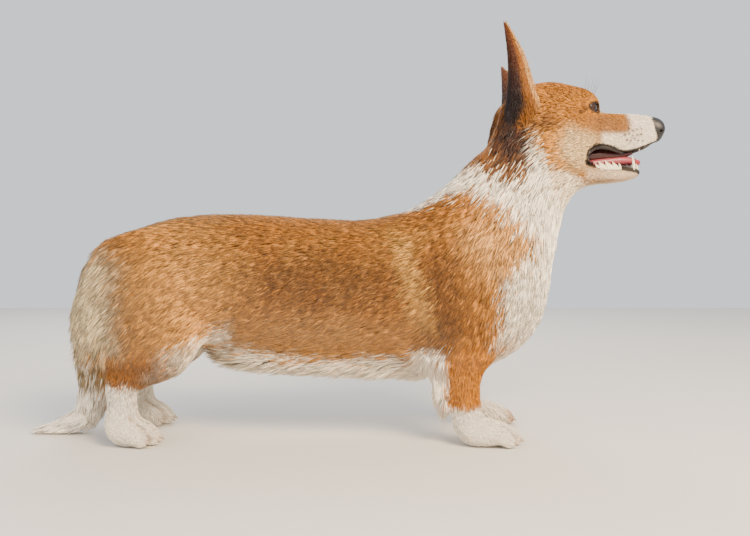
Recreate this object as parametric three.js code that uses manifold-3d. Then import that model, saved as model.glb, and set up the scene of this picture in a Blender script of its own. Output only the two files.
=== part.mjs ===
// A life-size Pembroke Welsh corgi, standing still with its head up and its mouth open, as a museum model.
// Millimetres, +Z up. The dog faces +X, its left side is +Y, and the origin is under the middle of its box.
// Each form is a field of blended masses. It is turned into a mesh on a grid, parted into nodes by thin cuts,
// and the long hair is added as flat tapered locks.
import * as THREE from "three";
import { mergeVertices } from "three/addons/utils/BufferGeometryUtils.js";
import Module from "manifold-3d";

const wasm = await Module();
wasm.setup();

// Driving sizes
const GAP = 0.3; // air left between two nodes that touch
const HALF_STANCE = 56; // from the middle plane to the middle of each foot
const FAR_FRONT_STEP = 10; // the left front foot stands this much further forward
const FAR_HIND_STEP = -12; // the left hind foot stands this much further back
const FLOOR_TRIM = 0; // the soles are cut flat at this height
const EYE_RADIUS = 10.5;
const BIG = 2000;

// A smooth sweep along a path in the XZ plane. Each station is [x, y, z, radius in that plane, radius sideways].
function sweep(stations, steps = 5) {
  const last = stations.length - 1;
  const samples = [];
  const at = (i) => stations[Math.max(0, Math.min(last, i))];
  for (let i = 0; i < last; i++)
    for (let s = 0; s < steps; s++) samples.push(blendStations(at(i - 1), at(i), at(i + 1), at(i + 2), s / steps));
  samples.push(stations[last]);
  const reach = Math.max(...stations.map((s) => Math.max(s[3], s[4]))) + 30;
  const low = [0, 1, 2].map((k) => Math.min(...samples.map((s) => s[k])) - reach);
  const high = [0, 1, 2].map((k) => Math.max(...samples.map((s) => s[k])) + reach);
  return (x, y, z) => {
    if (x < low[0] || x > high[0] || y < low[1] || y > high[1] || z < low[2] || z > high[2]) return 60;
    let best = Infinity;
    for (let i = 0; i < samples.length - 1; i++) {
      const a = samples[i];
      const b = samples[i + 1];
      const dx = b[0] - a[0];
      const dz = b[2] - a[2];
      let t = ((x - a[0]) * dx + (z - a[2]) * dz) / (dx * dx + dz * dz + 1e-9);
      t = t < 0 ? 0 : t > 1 ? 1 : t;
      const inPlane = a[3] + (b[3] - a[3]) * t;
      const side = a[4] + (b[4] - a[4]) * t;
      const off = Math.hypot(x - a[0] - dx * t, z - a[2] - dz * t) / inPlane;
      const across = (y - a[1] - (b[1] - a[1]) * t) / side;
      const value = (Math.hypot(off, across) - 1) * Math.min(inPlane, side);
      if (value < best) best = value;
    }
    return best;
  };
}

function blendStations(a, b, c, d, t) {
  return b.map((_, k) => {
    const [p, q, r, s] = [a[k], b[k], c[k], d[k]];
    return 0.5 * (2 * q + (r - p) * t + (2 * p - 5 * q + 4 * r - s) * t * t + (3 * q - p - 3 * r + s) * t * t * t);
  });
}

// An egg-shaped mass, pitched nose-up about Y and turned outwards about Z by angles in degrees.
function mass(centre, radii, pitch = 0, turn = 0) {
  const p = THREE.MathUtils.degToRad(pitch);
  const q = THREE.MathUtils.degToRad(turn);
  const least = Math.min(...radii);
  return (x, y, z) => {
    const dx = x - centre[0];
    const dy = y - centre[1];
    const dz = z - centre[2];
    const along = dx * Math.cos(q) + dy * Math.sin(q);
    const v = -dx * Math.sin(q) + dy * Math.cos(q);
    const u = along * Math.cos(p) + dz * Math.sin(p);
    const w = -along * Math.sin(p) + dz * Math.cos(p);
    return (Math.hypot(u / radii[0], v / radii[1], w / radii[2]) - 1) * least;
  };
}

function smoothMin(a, b, k) {
  const h = Math.max(k - Math.abs(a - b), 0) / k;
  return Math.min(a, b) - h * h * k * 0.25;
}

function smoothMax(a, b, k) {
  return -smoothMin(-a, -b, k);
}

// Joins fields in order, each with the width of its own fillet.
function joined(first, ...rest) {
  return (x, y, z) => rest.reduce((value, [field, k]) => smoothMin(value, field(x, y, z), k), first(x, y, z));
}

// A station of the trunk from the heights of its back and belly.
const ring = (x, back, belly, halfWidth) => [x, 0, (back + belly) / 2, (back - belly) / 2, halfWidth];

// Trunk: from the croup to the forechest, without its long hair
const trunk = sweep([
  ring(-262, 216, 146, 54),
  ring(-236, 243, 118, 70),
  ring(-190, 258, 104, 80),
  ring(-125, 260, 95, 80),
  ring(-60, 256, 86, 84),
  ring(10, 253, 80, 90),
  ring(70, 262, 76, 93),
  ring(116, 272, 74, 90),
  ring(140, 258, 82, 80),
]);
const forechest = mass([166, 0, 178], [48, 54, 80], -24);

// Neck: from the withers to the back of the skull
const neck = sweep([
  [128, 0, 212, 62, 76],
  [158, 0, 240, 72, 70],
  [184, 0, 276, 66, 58],
  [206, 0, 310, 55, 50],
  [220, 0, 342, 48, 47],
]);

// Legs: side is -1 for the dog's right and +1 for its left
const both = (make) => [-1, 1].map(make);

function foreleg(side, step) {
  const y = side * HALF_STANCE;
  return [
    [mass([108 + step / 2, side * 62, 168], [50, 32, 74], -14), 16],
    [mass([128 + step / 2, side * 60, 118], [38, 28, 36], 0), 14],
    [
      sweep([
        [122 + step, y, 112, 31, 24],
        [122 + step, y, 92, 25, 21],
        [125 + step, y, 64, 18, 17],
        [129 + step, y, 42, 15, 15.5],
        [130 + step, y, 26, 15.5, 17],
      ]),
      12,
    ],
  ];
}

function hindleg(side, step) {
  const y = side * HALF_STANCE;
  return [
    [mass([-240 + step / 2, side * 52, 166], [60, 40, 72], 8), 22],
    [mass([-276 + step / 2, side * 42, 142], [36, 30, 54], -8), 20],
    [mass([-214 + step / 2, side * 58, 116], [46, 32, 42], 24), 18],
    [
      sweep([
        [-222 + step, y, 112, 36, 26],
        [-244 + step, y, 86, 26, 21],
        [-257 + step, y, 64, 18.5, 17],
        [-256 + step, y, 44, 17, 16],
        [-253 + step, y, 26, 17, 17.5],
      ]),
      14,
    ],
  ];
}

// Feet: a pad with four toes spread fanwise. Each toe arches up at the knuckle and comes down at its claw.
const TOES = 4;
const TOE_PITCH = 12.5;

function toePath(side, heelX, length, toe) {
  const offset = (toe - (TOES - 1) / 2) * TOE_PITCH;
  const inner = Math.abs(offset) < TOE_PITCH;
  const reach = length - (inner ? 0 : 9);
  const y = side * HALF_STANCE + offset;
  return {
    root: [heelX + reach * 0.3, side * HALF_STANCE + offset * 0.75, 19],
    knuckle: [heelX + reach * 0.68, y, 16],
    tip: [heelX + reach - 8, y + offset * 0.08, 8],
  };
}

function foot(side, heelX, length) {
  const y = side * HALF_STANCE;
  const fields = [
    [
      sweep([
        [heelX + 16, y, 24, 16, 17],
        [heelX + 22, y, 12, 14, 20],
        [heelX + 38, y, 12, 14, 23],
      ]),
      10,
    ],
  ];
  for (let toe = 0; toe < TOES; toe++) {
    const { root, knuckle, tip } = toePath(side, heelX, length, toe);
    fields.push([sweep([[...root, 11, 8], [...knuckle, 10.5, 7.6], [...tip, 8, 6.4]], 4), 5]);
  }
  return fields;
}

// Head: skull, cheeks, brows, ear roots and the upper muzzle with its hanging lips
const skull = mass([232, 0, 370], [52, 49, 44], -7);
const headMasses = [
  [mass([212, 0, 350], [38, 48, 42], 0), 16],
  ...both((side) => [mass([236, side * 27, 340], [38, 24, 36], 8, side * 10), 14]),
  ...both((side) => [mass([266, side * 16, 388], [20, 16, 15], -24), 10]),
  ...both((side) => [mass([199, side * 34, 376], [24, 18, 24], 0), 12]),
  [
    sweep([
      [266, 0, 352, 28, 36],
      [286, 0, 353, 25.5, 29],
      [306, 0, 353.5, 24, 22],
      [326, 0, 355, 22, 18.5],
      [342, 0, 357, 18.5, 16.5],
      [349, 0, 358, 15, 14],
    ]),
    10,
  ],
  ...both((side) => [mass([306, side * 12.5, 342], [36, 9.5, 12.5], 0, -side * 7), 5]),
];
const jaw = sweep([
  [244, 0, 307, 20, 33],
  [264, 0, 305, 15, 27],
  [284, 0, 305.5, 12.5, 21],
  [306, 0, 305.5, 10.5, 16.5],
  [322, 0, 306.5, 8.5, 13.5],
  [330, 0, 307.5, 6.5, 11],
]);

// Mouth: a slot between the lips, with a vault above the tongue and a trough below it
const mouthGap = sweep([
  [272, 0, 325, 5, 90],
  [281, 0, 327, 8.5, 90],
  [294, 0, 326, 8.7, 90],
  [308, 0, 323, 6.6, 90],
  [322, 0, 322, 7.6, 90],
  [338, 0, 323, 11, 90],
  [366, 0, 326, 18, 90],
]);
const mouthInside = sweep([
  [277, 0, 326, 13, 18],
  [296, 0, 327, 15, 15.5],
  [316, 0, 325, 13, 11.5],
  [331, 0, 324, 12, 8],
]);
const tongueField = sweep([
  [276, 0, 317, 7, 13],
  [294, 0, 319, 6, 12.5],
  [312, 0, 320.5, 4.5, 11],
  [326, 0, 320, 3.6, 8.5],
  [333, 0, 317.5, 3, 6.5],
]);
const noseLeather = joined(
  mass([351, 0, 363], [15, 12.5, 10.5], -6),
  [mass([355, 0, 353], [9, 9, 10], -24), 6],
  ...both((side) => [mass([354, side * 7, 358], [10, 7, 8], 0, side * 20), 5]),
);
const nostril = (side) => mass([363.5, side * 6.8, 358.5], [6, 2.4, 3.6], 12, side * 36);
const noseField = (x, y, z) => smoothMax(noseLeather(x, y, z), -nostril(y < 0 ? -1 : 1)(x, y, z), 2);

// The flesh under the belly fringe, and the backs of the forelegs under their feathers
const keel = sweep([
  [-150, 0, 98, 12, 28],
  [-110, 0, 92, 13, 34],
  [-40, 0, 88, 13, 38],
  [40, 0, 86, 13, 40],
  [92, 0, 86, 12, 38],
]);
const feather = (side, step) => mass([104 + step, side * 57, 80], [17, 10, 42], 8);

const trunkAndLimbs = joined(
  trunk,
  [forechest, 26],
  [neck, 34],
  [keel, 10],
  ...foreleg(-1, 0),
  ...foreleg(1, FAR_FRONT_STEP),
  [feather(-1, 0), 6],
  [feather(1, FAR_FRONT_STEP), 6],
  ...hindleg(-1, 0),
  ...hindleg(1, FAR_HIND_STEP),
  ...foot(-1, 112, 76),
  ...foot(1, 112 + FAR_FRONT_STEP, 76),
  ...foot(-1, -276, 63),
  ...foot(1, -276 + FAR_HIND_STEP, 63),
);
const headWhole = joined(skull, ...headMasses, [jaw, 8]);
const bodyField = (x, y, z) => {
  const rear = trunkAndLimbs(x, y, z);
  if (x < 120 || z < 230) return rear;
  let value = smoothMin(rear, headWhole(x, y, z), 22);
  value = smoothMax(value, -mouthGap(x, y, z), 3);
  return smoothMax(value, -mouthInside(x, y, z), 3);
};

// Tail: hangs down behind the hocks, its end turned back along the ground
const TAIL_PATH = [
  [-282, 0, 222, 15, 15],
  [-303, 0, 196, 18, 17],
  [-309, 0, 150, 20, 18],
  [-308, 0, 100, 22, 19],
  [-305, 0, 62, 22, 18],
  [-311, 0, 30, 19, 16],
  [-334, 0, 14, 13, 12],
  [-360, 0, 7, 7.5, 9],
];
const tailField = sweep(TAIL_PATH);

// The lines of a grid: from a start, a step up to each next mark.
function lines(start, ...stepsAndMarks) {
  const out = [start];
  for (let i = 0; i < stepsAndMarks.length; i += 2) {
    const from = out[out.length - 1];
    const count = Math.max(1, Math.round((stepsAndMarks[i + 1] - from) / stepsAndMarks[i]));
    for (let n = 1; n <= count; n++) out.push(from + ((stepsAndMarks[i + 1] - from) * n) / count);
  }
  return out;
}

const cube = (low, high, cell) => low.map((v, k) => lines(v, cell, high[k]));

// Turns a field into a closed mesh: one corner in each cell that the surface crosses, moved onto the surface.
function meshOf(field, grid, level = 0) {
  const [nx, ny, nz] = grid.map((g) => g.length);
  const at = (i, j, k) => (k * ny + j) * nx + i;
  const values = new Float64Array(nx * ny * nz);
  for (let k = 0; k < nz; k++)
    for (let j = 0; j < ny; j++)
      for (let i = 0; i < nx; i++) {
        const edge = i === 0 || j === 0 || k === 0 || i === nx - 1 || j === ny - 1 || k === nz - 1;
        const value = field(grid[0][i], grid[1][j], grid[2][k]) - level;
        values[at(i, j, k)] = edge ? Math.max(value, 1) : value;
      }
  fillSaddles(values, [nx, ny, nz]);
  const corner = new Map();
  const points = [];
  const cellPoint = (i, j, k) => {
    const key = at(i, j, k);
    if (corner.has(key)) return corner.get(key);
    const sum = [0, 0, 0];
    let hits = 0;
    for (let e = 0; e < 12; e++) {
      const axis = e >> 2;
      const a = [i, j, k];
      a[(axis + 1) % 3] += e & 1;
      a[(axis + 2) % 3] += (e >> 1) & 1;
      const b = [...a];
      b[axis] += 1;
      const va = values[at(...a)];
      const vb = values[at(...b)];
      if (va < 0 === vb < 0) continue;
      a.forEach((v, n) => (sum[n] += grid[n][v]));
      sum[axis] += (grid[axis][b[axis]] - grid[axis][a[axis]]) * (va / (va - vb));
      hits++;
    }
    points.push(...sum.map((v) => v / hits));
    corner.set(key, points.length / 3 - 1);
    return points.length / 3 - 1;
  };
  const faces = [];
  for (let k = 0; k < nz - 1; k++)
    for (let j = 0; j < ny - 1; j++)
      for (let i = 0; i < nx - 1; i++)
        for (let axis = 0; axis < 3; axis++) {
          const p = [i, j, k];
          const q = [i, j, k];
          q[axis] += 1;
          const inside = values[at(...p)] < 0;
          if (inside === values[at(...q)] < 0) continue;
          const [u, v] = [(axis + 1) % 3, (axis + 2) % 3];
          const loop = [
            [0, 0],
            [-1, 0],
            [-1, -1],
            [0, -1],
          ].map(([du, dv]) => {
            const c = [i, j, k];
            c[u] += du;
            c[v] += dv;
            return cellPoint(...c);
          });
          if (!inside) loop.reverse();
          faces.push(loop);
        }
  return solidFrom(points, splitQuads(points, faces));
}

// Where the four corners of a grid face are inside and outside by turns, one outside corner is taken inside,
// so that no edge of the mesh is shared by four faces.
function fillSaddles(values, counts) {
  const step = [1, counts[0], counts[0] * counts[1]];
  let changed = true;
  while (changed) {
    changed = false;
    for (let n = 0; n < values.length; n++)
      for (const [u, v] of [
        [0, 1],
        [1, 2],
        [2, 0],
      ]) {
        const room = (axis) => Math.floor(n / step[axis]) % counts[axis] < counts[axis] - 1;
        if (!room(u) || !room(v)) continue;
        const loop = [n, n + step[u], n + step[u] + step[v], n + step[v]];
        const [a, b, c, d] = loop.map((m) => values[m] < 0);
        if (a !== c || b !== d || a === b) continue;
        values[a ? loop[1] : loop[0]] = -0.01;
        changed = true;
      }
  }
}

// Splits each four-sided face along its shorter diagonal.
function splitQuads(points, faces) {
  const span = (a, b) => Math.hypot(...[0, 1, 2].map((k) => points[a * 3 + k] - points[b * 3 + k]));
  return faces.flatMap(([a, b, c, d]) => (span(a, c) < span(b, d) ? [a, b, c, a, c, d] : [a, b, d, b, c, d]));
}

function solidFrom(points, indices) {
  const made = new wasm.Manifold(
    new wasm.Mesh({ numProp: 3, vertProperties: new Float32Array(points), triVerts: new Uint32Array(indices) }),
  );
  return made;
}

function solidOf(geometry) {
  const bare = geometry.clone();
  bare.deleteAttribute("normal");
  bare.deleteAttribute("uv");
  const merged = mergeVertices(bare, 1e-4);
  return solidFrom(merged.attributes.position.array, merged.index.array);
}

function box(low, high) {
  const size = high.map((v, k) => v - low[k]);
  const geometry = new THREE.BoxGeometry(...size);
  geometry.translate(...high.map((v, k) => (v + low[k]) / 2));
  return solidOf(geometry);
}

// All that lies ahead of a plane across the body, through a point in the XZ plane, facing up by a pitch in degrees.
function aheadOf(x, z, pitch, back = 0) {
  const geometry = new THREE.BoxGeometry(BIG, BIG, BIG);
  geometry.translate(BIG / 2 - back, 0, 0);
  geometry.rotateY(THREE.MathUtils.degToRad(-pitch));
  geometry.translate(x, 0, z);
  return solidOf(geometry);
}

// Keeps the largest closed body, so that a scrap left by a cut is dropped.
function largest(solid) {
  return solid.decompose().reduce((a, b) => (b.volume() > a.volume() ? b : a));
}

const floor = box([-BIG, -BIG, FLOOR_TRIM], [BIG, BIG, BIG]);

// Ears: a cupped leaf that opens forwards. Each row runs from the outer rim round the back to the inner rim.
const EAR_THICK = 3;
const EAR_COLUMNS = 6;
const EAR_ARC = THREE.MathUtils.degToRad(96);
// Each row: share of the way up, distance from the back to the rims, half width
const EAR_ROWS = [
  [0, 30, 12],
  [0.13, 40, 21],
  [0.28, 31, 25.5],
  [0.47, 24, 23],
  [0.62, 20, 18.5],
  [0.76, 14.5, 13.5],
  [0.88, 9.5, 8.5],
  [0.96, 5.5, 4.5],
  [1, 3.6, 2],
];

function earSolid(root, tip, outwards, bow) {
  const base = new THREE.Vector3(...root);
  const rise = new THREE.Vector3(...tip).sub(base);
  const axis = rise.clone().normalize();
  const front = new THREE.Vector3(1, outwards, 0);
  front.addScaledVector(axis, -front.dot(axis)).normalize();
  const across = new THREE.Vector3().crossVectors(axis, front);
  const rows = EAR_ROWS.length;
  const points = [];
  for (const [share, depth, half] of EAR_ROWS)
    for (let column = 0; column <= EAR_COLUMNS; column++)
      for (const thick of [0, EAR_THICK]) {
        const turn = ((2 * column) / EAR_COLUMNS - 1) * EAR_ARC;
        const width = Math.max(half - thick * 0.7, half * 0.4);
        const deep = Math.max(depth - thick, depth * 0.5);
        const point = base.clone().addScaledVector(rise, share);
        point.addScaledVector(across, width * Math.sin(turn));
        point.addScaledVector(front, (deep * (1 - Math.cos(turn))) / (1 - Math.cos(EAR_ARC)));
        point.addScaledVector(front, Math.min(thick, depth * 0.5) + bow * Math.sin(Math.PI * share));
        points.push(...point.toArray());
      }
  const indices = [];
  const index = (row, column, inner) => (row * (EAR_COLUMNS + 1) + column) * 2 + inner;
  const quad = (a, b, c, d) => indices.push(a, b, c, a, c, d);
  for (let row = 0; row < rows - 1; row++) {
    for (let column = 0; column < EAR_COLUMNS; column++)
      for (const inner of [0, 1]) {
        const corners = [index(row, column, inner), index(row, column + 1, inner)];
        corners.push(index(row + 1, column + 1, inner), index(row + 1, column, inner));
        quad(...(inner ? corners.reverse() : corners));
      }
    quad(index(row, 0, 1), index(row, 0, 0), index(row + 1, 0, 0), index(row + 1, 0, 1));
    const last = EAR_COLUMNS;
    quad(index(row, last, 0), index(row, last, 1), index(row + 1, last, 1), index(row + 1, last, 0));
  }
  for (let column = 0; column < EAR_COLUMNS; column++) {
    const top = rows - 1;
    quad(index(0, column, 0), index(0, column, 1), index(0, column + 1, 1), index(0, column + 1, 0));
    quad(index(top, column, 0), index(top, column + 1, 0), index(top, column + 1, 1), index(top, column, 1));
  }
  const made = solidFrom(points, indices);
  return made.volume() < 0 ? solidFrom(points, indices.reverse()) : made;
}

// Eyes: a ball in each socket, under lids that leave an almond-shaped opening
const EYE = [269.5, 22.5, 380];
const EYE_TURN = 40; // degrees outwards from straight ahead
const LID = 2.6;
const OPENING = [9, 8.2, 4.6]; // half sizes of the almond: into the head, along the lids, between the lids

function ball(radius, centre, detail) {
  const geometry = new THREE.IcosahedronGeometry(radius, detail);
  geometry.translate(...centre);
  return solidOf(geometry);
}

function withEye(head, side) {
  const centre = [EYE[0], side * EYE[1], EYE[2]];
  const almond = new THREE.IcosahedronGeometry(1, 2);
  almond.scale(...OPENING);
  almond.rotateX(THREE.MathUtils.degToRad(side * -16));
  almond.rotateZ(THREE.MathUtils.degToRad(side * EYE_TURN));
  const out = THREE.MathUtils.degToRad(EYE_TURN);
  almond.translate(centre[0] + 9.5 * Math.cos(out), centre[1] + side * 9.5 * Math.sin(out), centre[2]);
  return head
    .add(ball(EYE_RADIUS + LID, centre, 2))
    .subtract(solidOf(almond))
    .subtract(ball(EYE_RADIUS + GAP, centre, 2));
}

// Teeth: cones along the arch of each jaw. Each is [x, half distance apart, height, radius].
const LOWER_TEETH = [
  [288, 14.4, 5.5, 3.4],
  [296, 13.8, 6.5, 3.6],
  [304, 12.8, 5.5, 2.8],
  [328, 8.2, 13, 2.7],
  [334, 3.4, 5, 1.9],
];
const UPPER_TEETH = [
  [336, 8.6, 9, 2.7],
  [343, 3.6, 4, 1.9],
];

function cone(foot, tip, radius, sides = 5) {
  const rise = new THREE.Vector3(...tip).sub(new THREE.Vector3(...foot));
  const geometry = new THREE.ConeGeometry(radius, rise.length(), sides);
  geometry.translate(0, rise.length() / 2, 0);
  geometry.applyQuaternion(new THREE.Quaternion().setFromUnitVectors(new THREE.Vector3(0, 1, 0), rise.normalize()));
  geometry.translate(...foot);
  return solidOf(geometry);
}

// Claws: one at the end of each toe
const CLAW_LENGTH = 13;
const CLAW_RADIUS = 3.2;

function claws(side, heelX, length) {
  return Array.from({ length: TOES }, (_, toe) => {
    const [x, y, z] = toePath(side, heelX, length, toe).tip;
    return cone([x - 1, y, z + 1.4], [x - 1 + CLAW_LENGTH, y, 3], CLAW_RADIUS);
  });
}

// Long hair: flat tapered locks that bend as they hang. Each is rooted well inside the surface.
const LOCK_SHAPE = [
  // share of the length, share of the width
  [0, 0.6],
  [0.3, 1],
  [0.65, 0.72],
  [1, 0.12],
];
const LOCK_FLATNESS = 0.34;
let seed = 4077;

function chance(low, high) {
  seed = (seed * 16807) % 2147483647;
  return low + (high - low) * (seed / 2147483647);
}

// root: a point inside the body. out: the way out of it. fall: the way the hair lies. bend: how far the tip turns in.
function lock(root, out, fall, length, width, bend = 0.3) {
  const o = new THREE.Vector3(...out).normalize();
  const f = new THREE.Vector3(...fall).normalize();
  const start = new THREE.Vector3(...root);
  const points = [];
  const side = new THREE.Vector3().crossVectors(o, f).normalize();
  for (const [share, wide] of LOCK_SHAPE) {
    const centre = start.clone().addScaledVector(f, length * share);
    centre.addScaledVector(o, length * (0.2 * Math.sin(Math.PI * 0.6 * share) - bend * share * share));
    const half = (width / 2) * wide;
    const thick = new THREE.Vector3().crossVectors(f, side).normalize();
    for (const [a, b] of [[1, 0], [0, 1], [-1, 0], [0, -1]])
      points.push(...centre.clone().addScaledVector(side, a * half).addScaledVector(thick, b * half * LOCK_FLATNESS).toArray());
  }
  const indices = [];
  for (let ring = 0; ring < LOCK_SHAPE.length - 1; ring++)
    for (let n = 0; n < 4; n++) {
      const [a, b] = [ring * 4 + n, ring * 4 + ((n + 1) % 4)];
      indices.push(a, b, b + 4, a, b + 4, a + 4);
    }
  const end = (LOCK_SHAPE.length - 1) * 4;
  indices.push(0, 2, 1, 0, 3, 2, end, end + 1, end + 2, end, end + 2, end + 3);
  const made = solidFrom(points, indices);
  return made.volume() < 0 ? solidFrom(points, indices.reverse()) : made;
}

// The point where a ray from inside leaves the surface, less the depth of a root.
function rootOn(field, from, out, depth) {
  const length = Math.hypot(...out);
  let reach = 0;
  while (field(...from.map((v, k) => v + (out[k] / length) * reach)) < 0 && reach < 200) reach += 1.5;
  return from.map((v, k) => v + (out[k] / length) * (reach - depth));
}

// Bib: rows round the front of the chest, the lowest hanging free
function bibLocks() {
  const locks = [];
  for (const [row, z] of [246, 206, 166, 128].entries())
    for (let n = 0; n < 5; n++) {
      const angle = THREE.MathUtils.degToRad(-56 + 28 * n - (row % 2 ? 14 : 0) + chance(-4, 4));
      const out = [Math.cos(angle), Math.sin(angle), -0.1 - row * 0.16];
      const root = rootOn(bodyField, [140 - row * 5, 0, z], out, 5);
      const fall = [-0.04 - row * 0.22, -Math.sin(angle) * 0.25, -1];
      locks.push(lock(root, out, fall, chance(50, 60) - row * 3, chance(31, 36), 0.12));
    }
  return locks;
}

// Breeches: rows down the back of each thigh
function breechLocks(side) {
  const locks = [];
  for (const [row, z] of [214, 176, 138].entries())
    for (let n = 0; n < 3; n++) {
      const angle = THREE.MathUtils.degToRad(180 - side * (8 + 25 * n + row * 5 + chance(-4, 4)));
      const out = [Math.cos(angle), Math.sin(angle), 0];
      const root = rootOn(bodyField, [-240, side * 34, z], out, 6);
      locks.push(lock(root, out, [0.04, 0, -1], chance(48, 58), chance(26, 31), 0.1));
    }
  return locks;
}

// Fringe: a row under each side of the belly, leaning back
function fringeLocks() {
  const locks = [];
  for (const side of [-1, 1])
    for (let n = 0; n < 8; n++) {
      const x = -138 + 30 * n + chance(-4, 4) + (side > 0 ? 12 : 0);
      const root = rootOn(bodyField, [x, side * 14, 130], [0, side * 0.5, -1], 7);
      locks.push(lock(root, [-0.3, side, 0], [-0.9, side * 0.1, -1], chance(34, 40), chance(26, 30), 0.05));
    }
  return locks;
}

// Feathers: down the back of each foreleg
function featherLocks(side, step) {
  return [104, 86, 68, 50].map((z, n) => {
    const root = rootOn(bodyField, [120 + step, side * 57, z], [-1, 0, 0], 8);
    return lock(root, [-1, 0, 0.2], [-0.3, 0, -1], 30 - n * 2 + chance(-2, 2), 16, 0.06);
  });
}

// Plume: pairs down the tail and a last lock out along the ground
function plumeLocks() {
  const locks = [];
  for (const [n, [x, z]] of [[-314, 168], [-314, 132], [-312, 98], [-312, 66], [-320, 38]].entries())
    for (const side of [-1, 1]) {
      const out = [-0.75, side * 0.8, 0];
      const fall = n < 4 ? [-0.04, side * 0.06, -1] : [-1, side * 0.12, -0.6];
      locks.push(lock([x + 6, side * 8, z], out, fall, n < 4 ? 44 : 48, 22, 0.12));
    }
  locks.push(lock([-330, 0, 13], [0, 0, 1], [-1, 0, -0.16], 40, 16, 0.1));
  return locks;
}

const withLocks = (solid, locks) => locks.reduce((left, one) => left.add(one), solid);

// Regions that the body is parted into. Each is made a second time, larger by the gap, to be cut from its neighbours.
const behind = (x, grow) => box([-BIG, -BIG, -BIG], [x + grow, BIG, BIG]);

function barrel(x, z, radius, from, side, grow) {
  const geometry = new THREE.CylinderGeometry(radius + grow, radius + grow, BIG, 28);
  geometry.translate(x, side * (BIG / 2 + from - grow), z);
  return solidOf(geometry);
}

function legSpace(side, front, grow) {
  const [low, high, top, inner] = front ? [62, 176, 112, 16] : [-330, -196, 100, 16];
  const near = side < 0 ? [-BIG, -inner + grow] : [inner - grow, BIG];
  return box([low - grow, near[0], -BIG], [high + grow, near[1], top + grow]);
}

const belowAnkle = (grow) => box([-BIG, -BIG, -BIG], [BIG, BIG, 31 + grow]);

export default await assemble();

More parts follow.
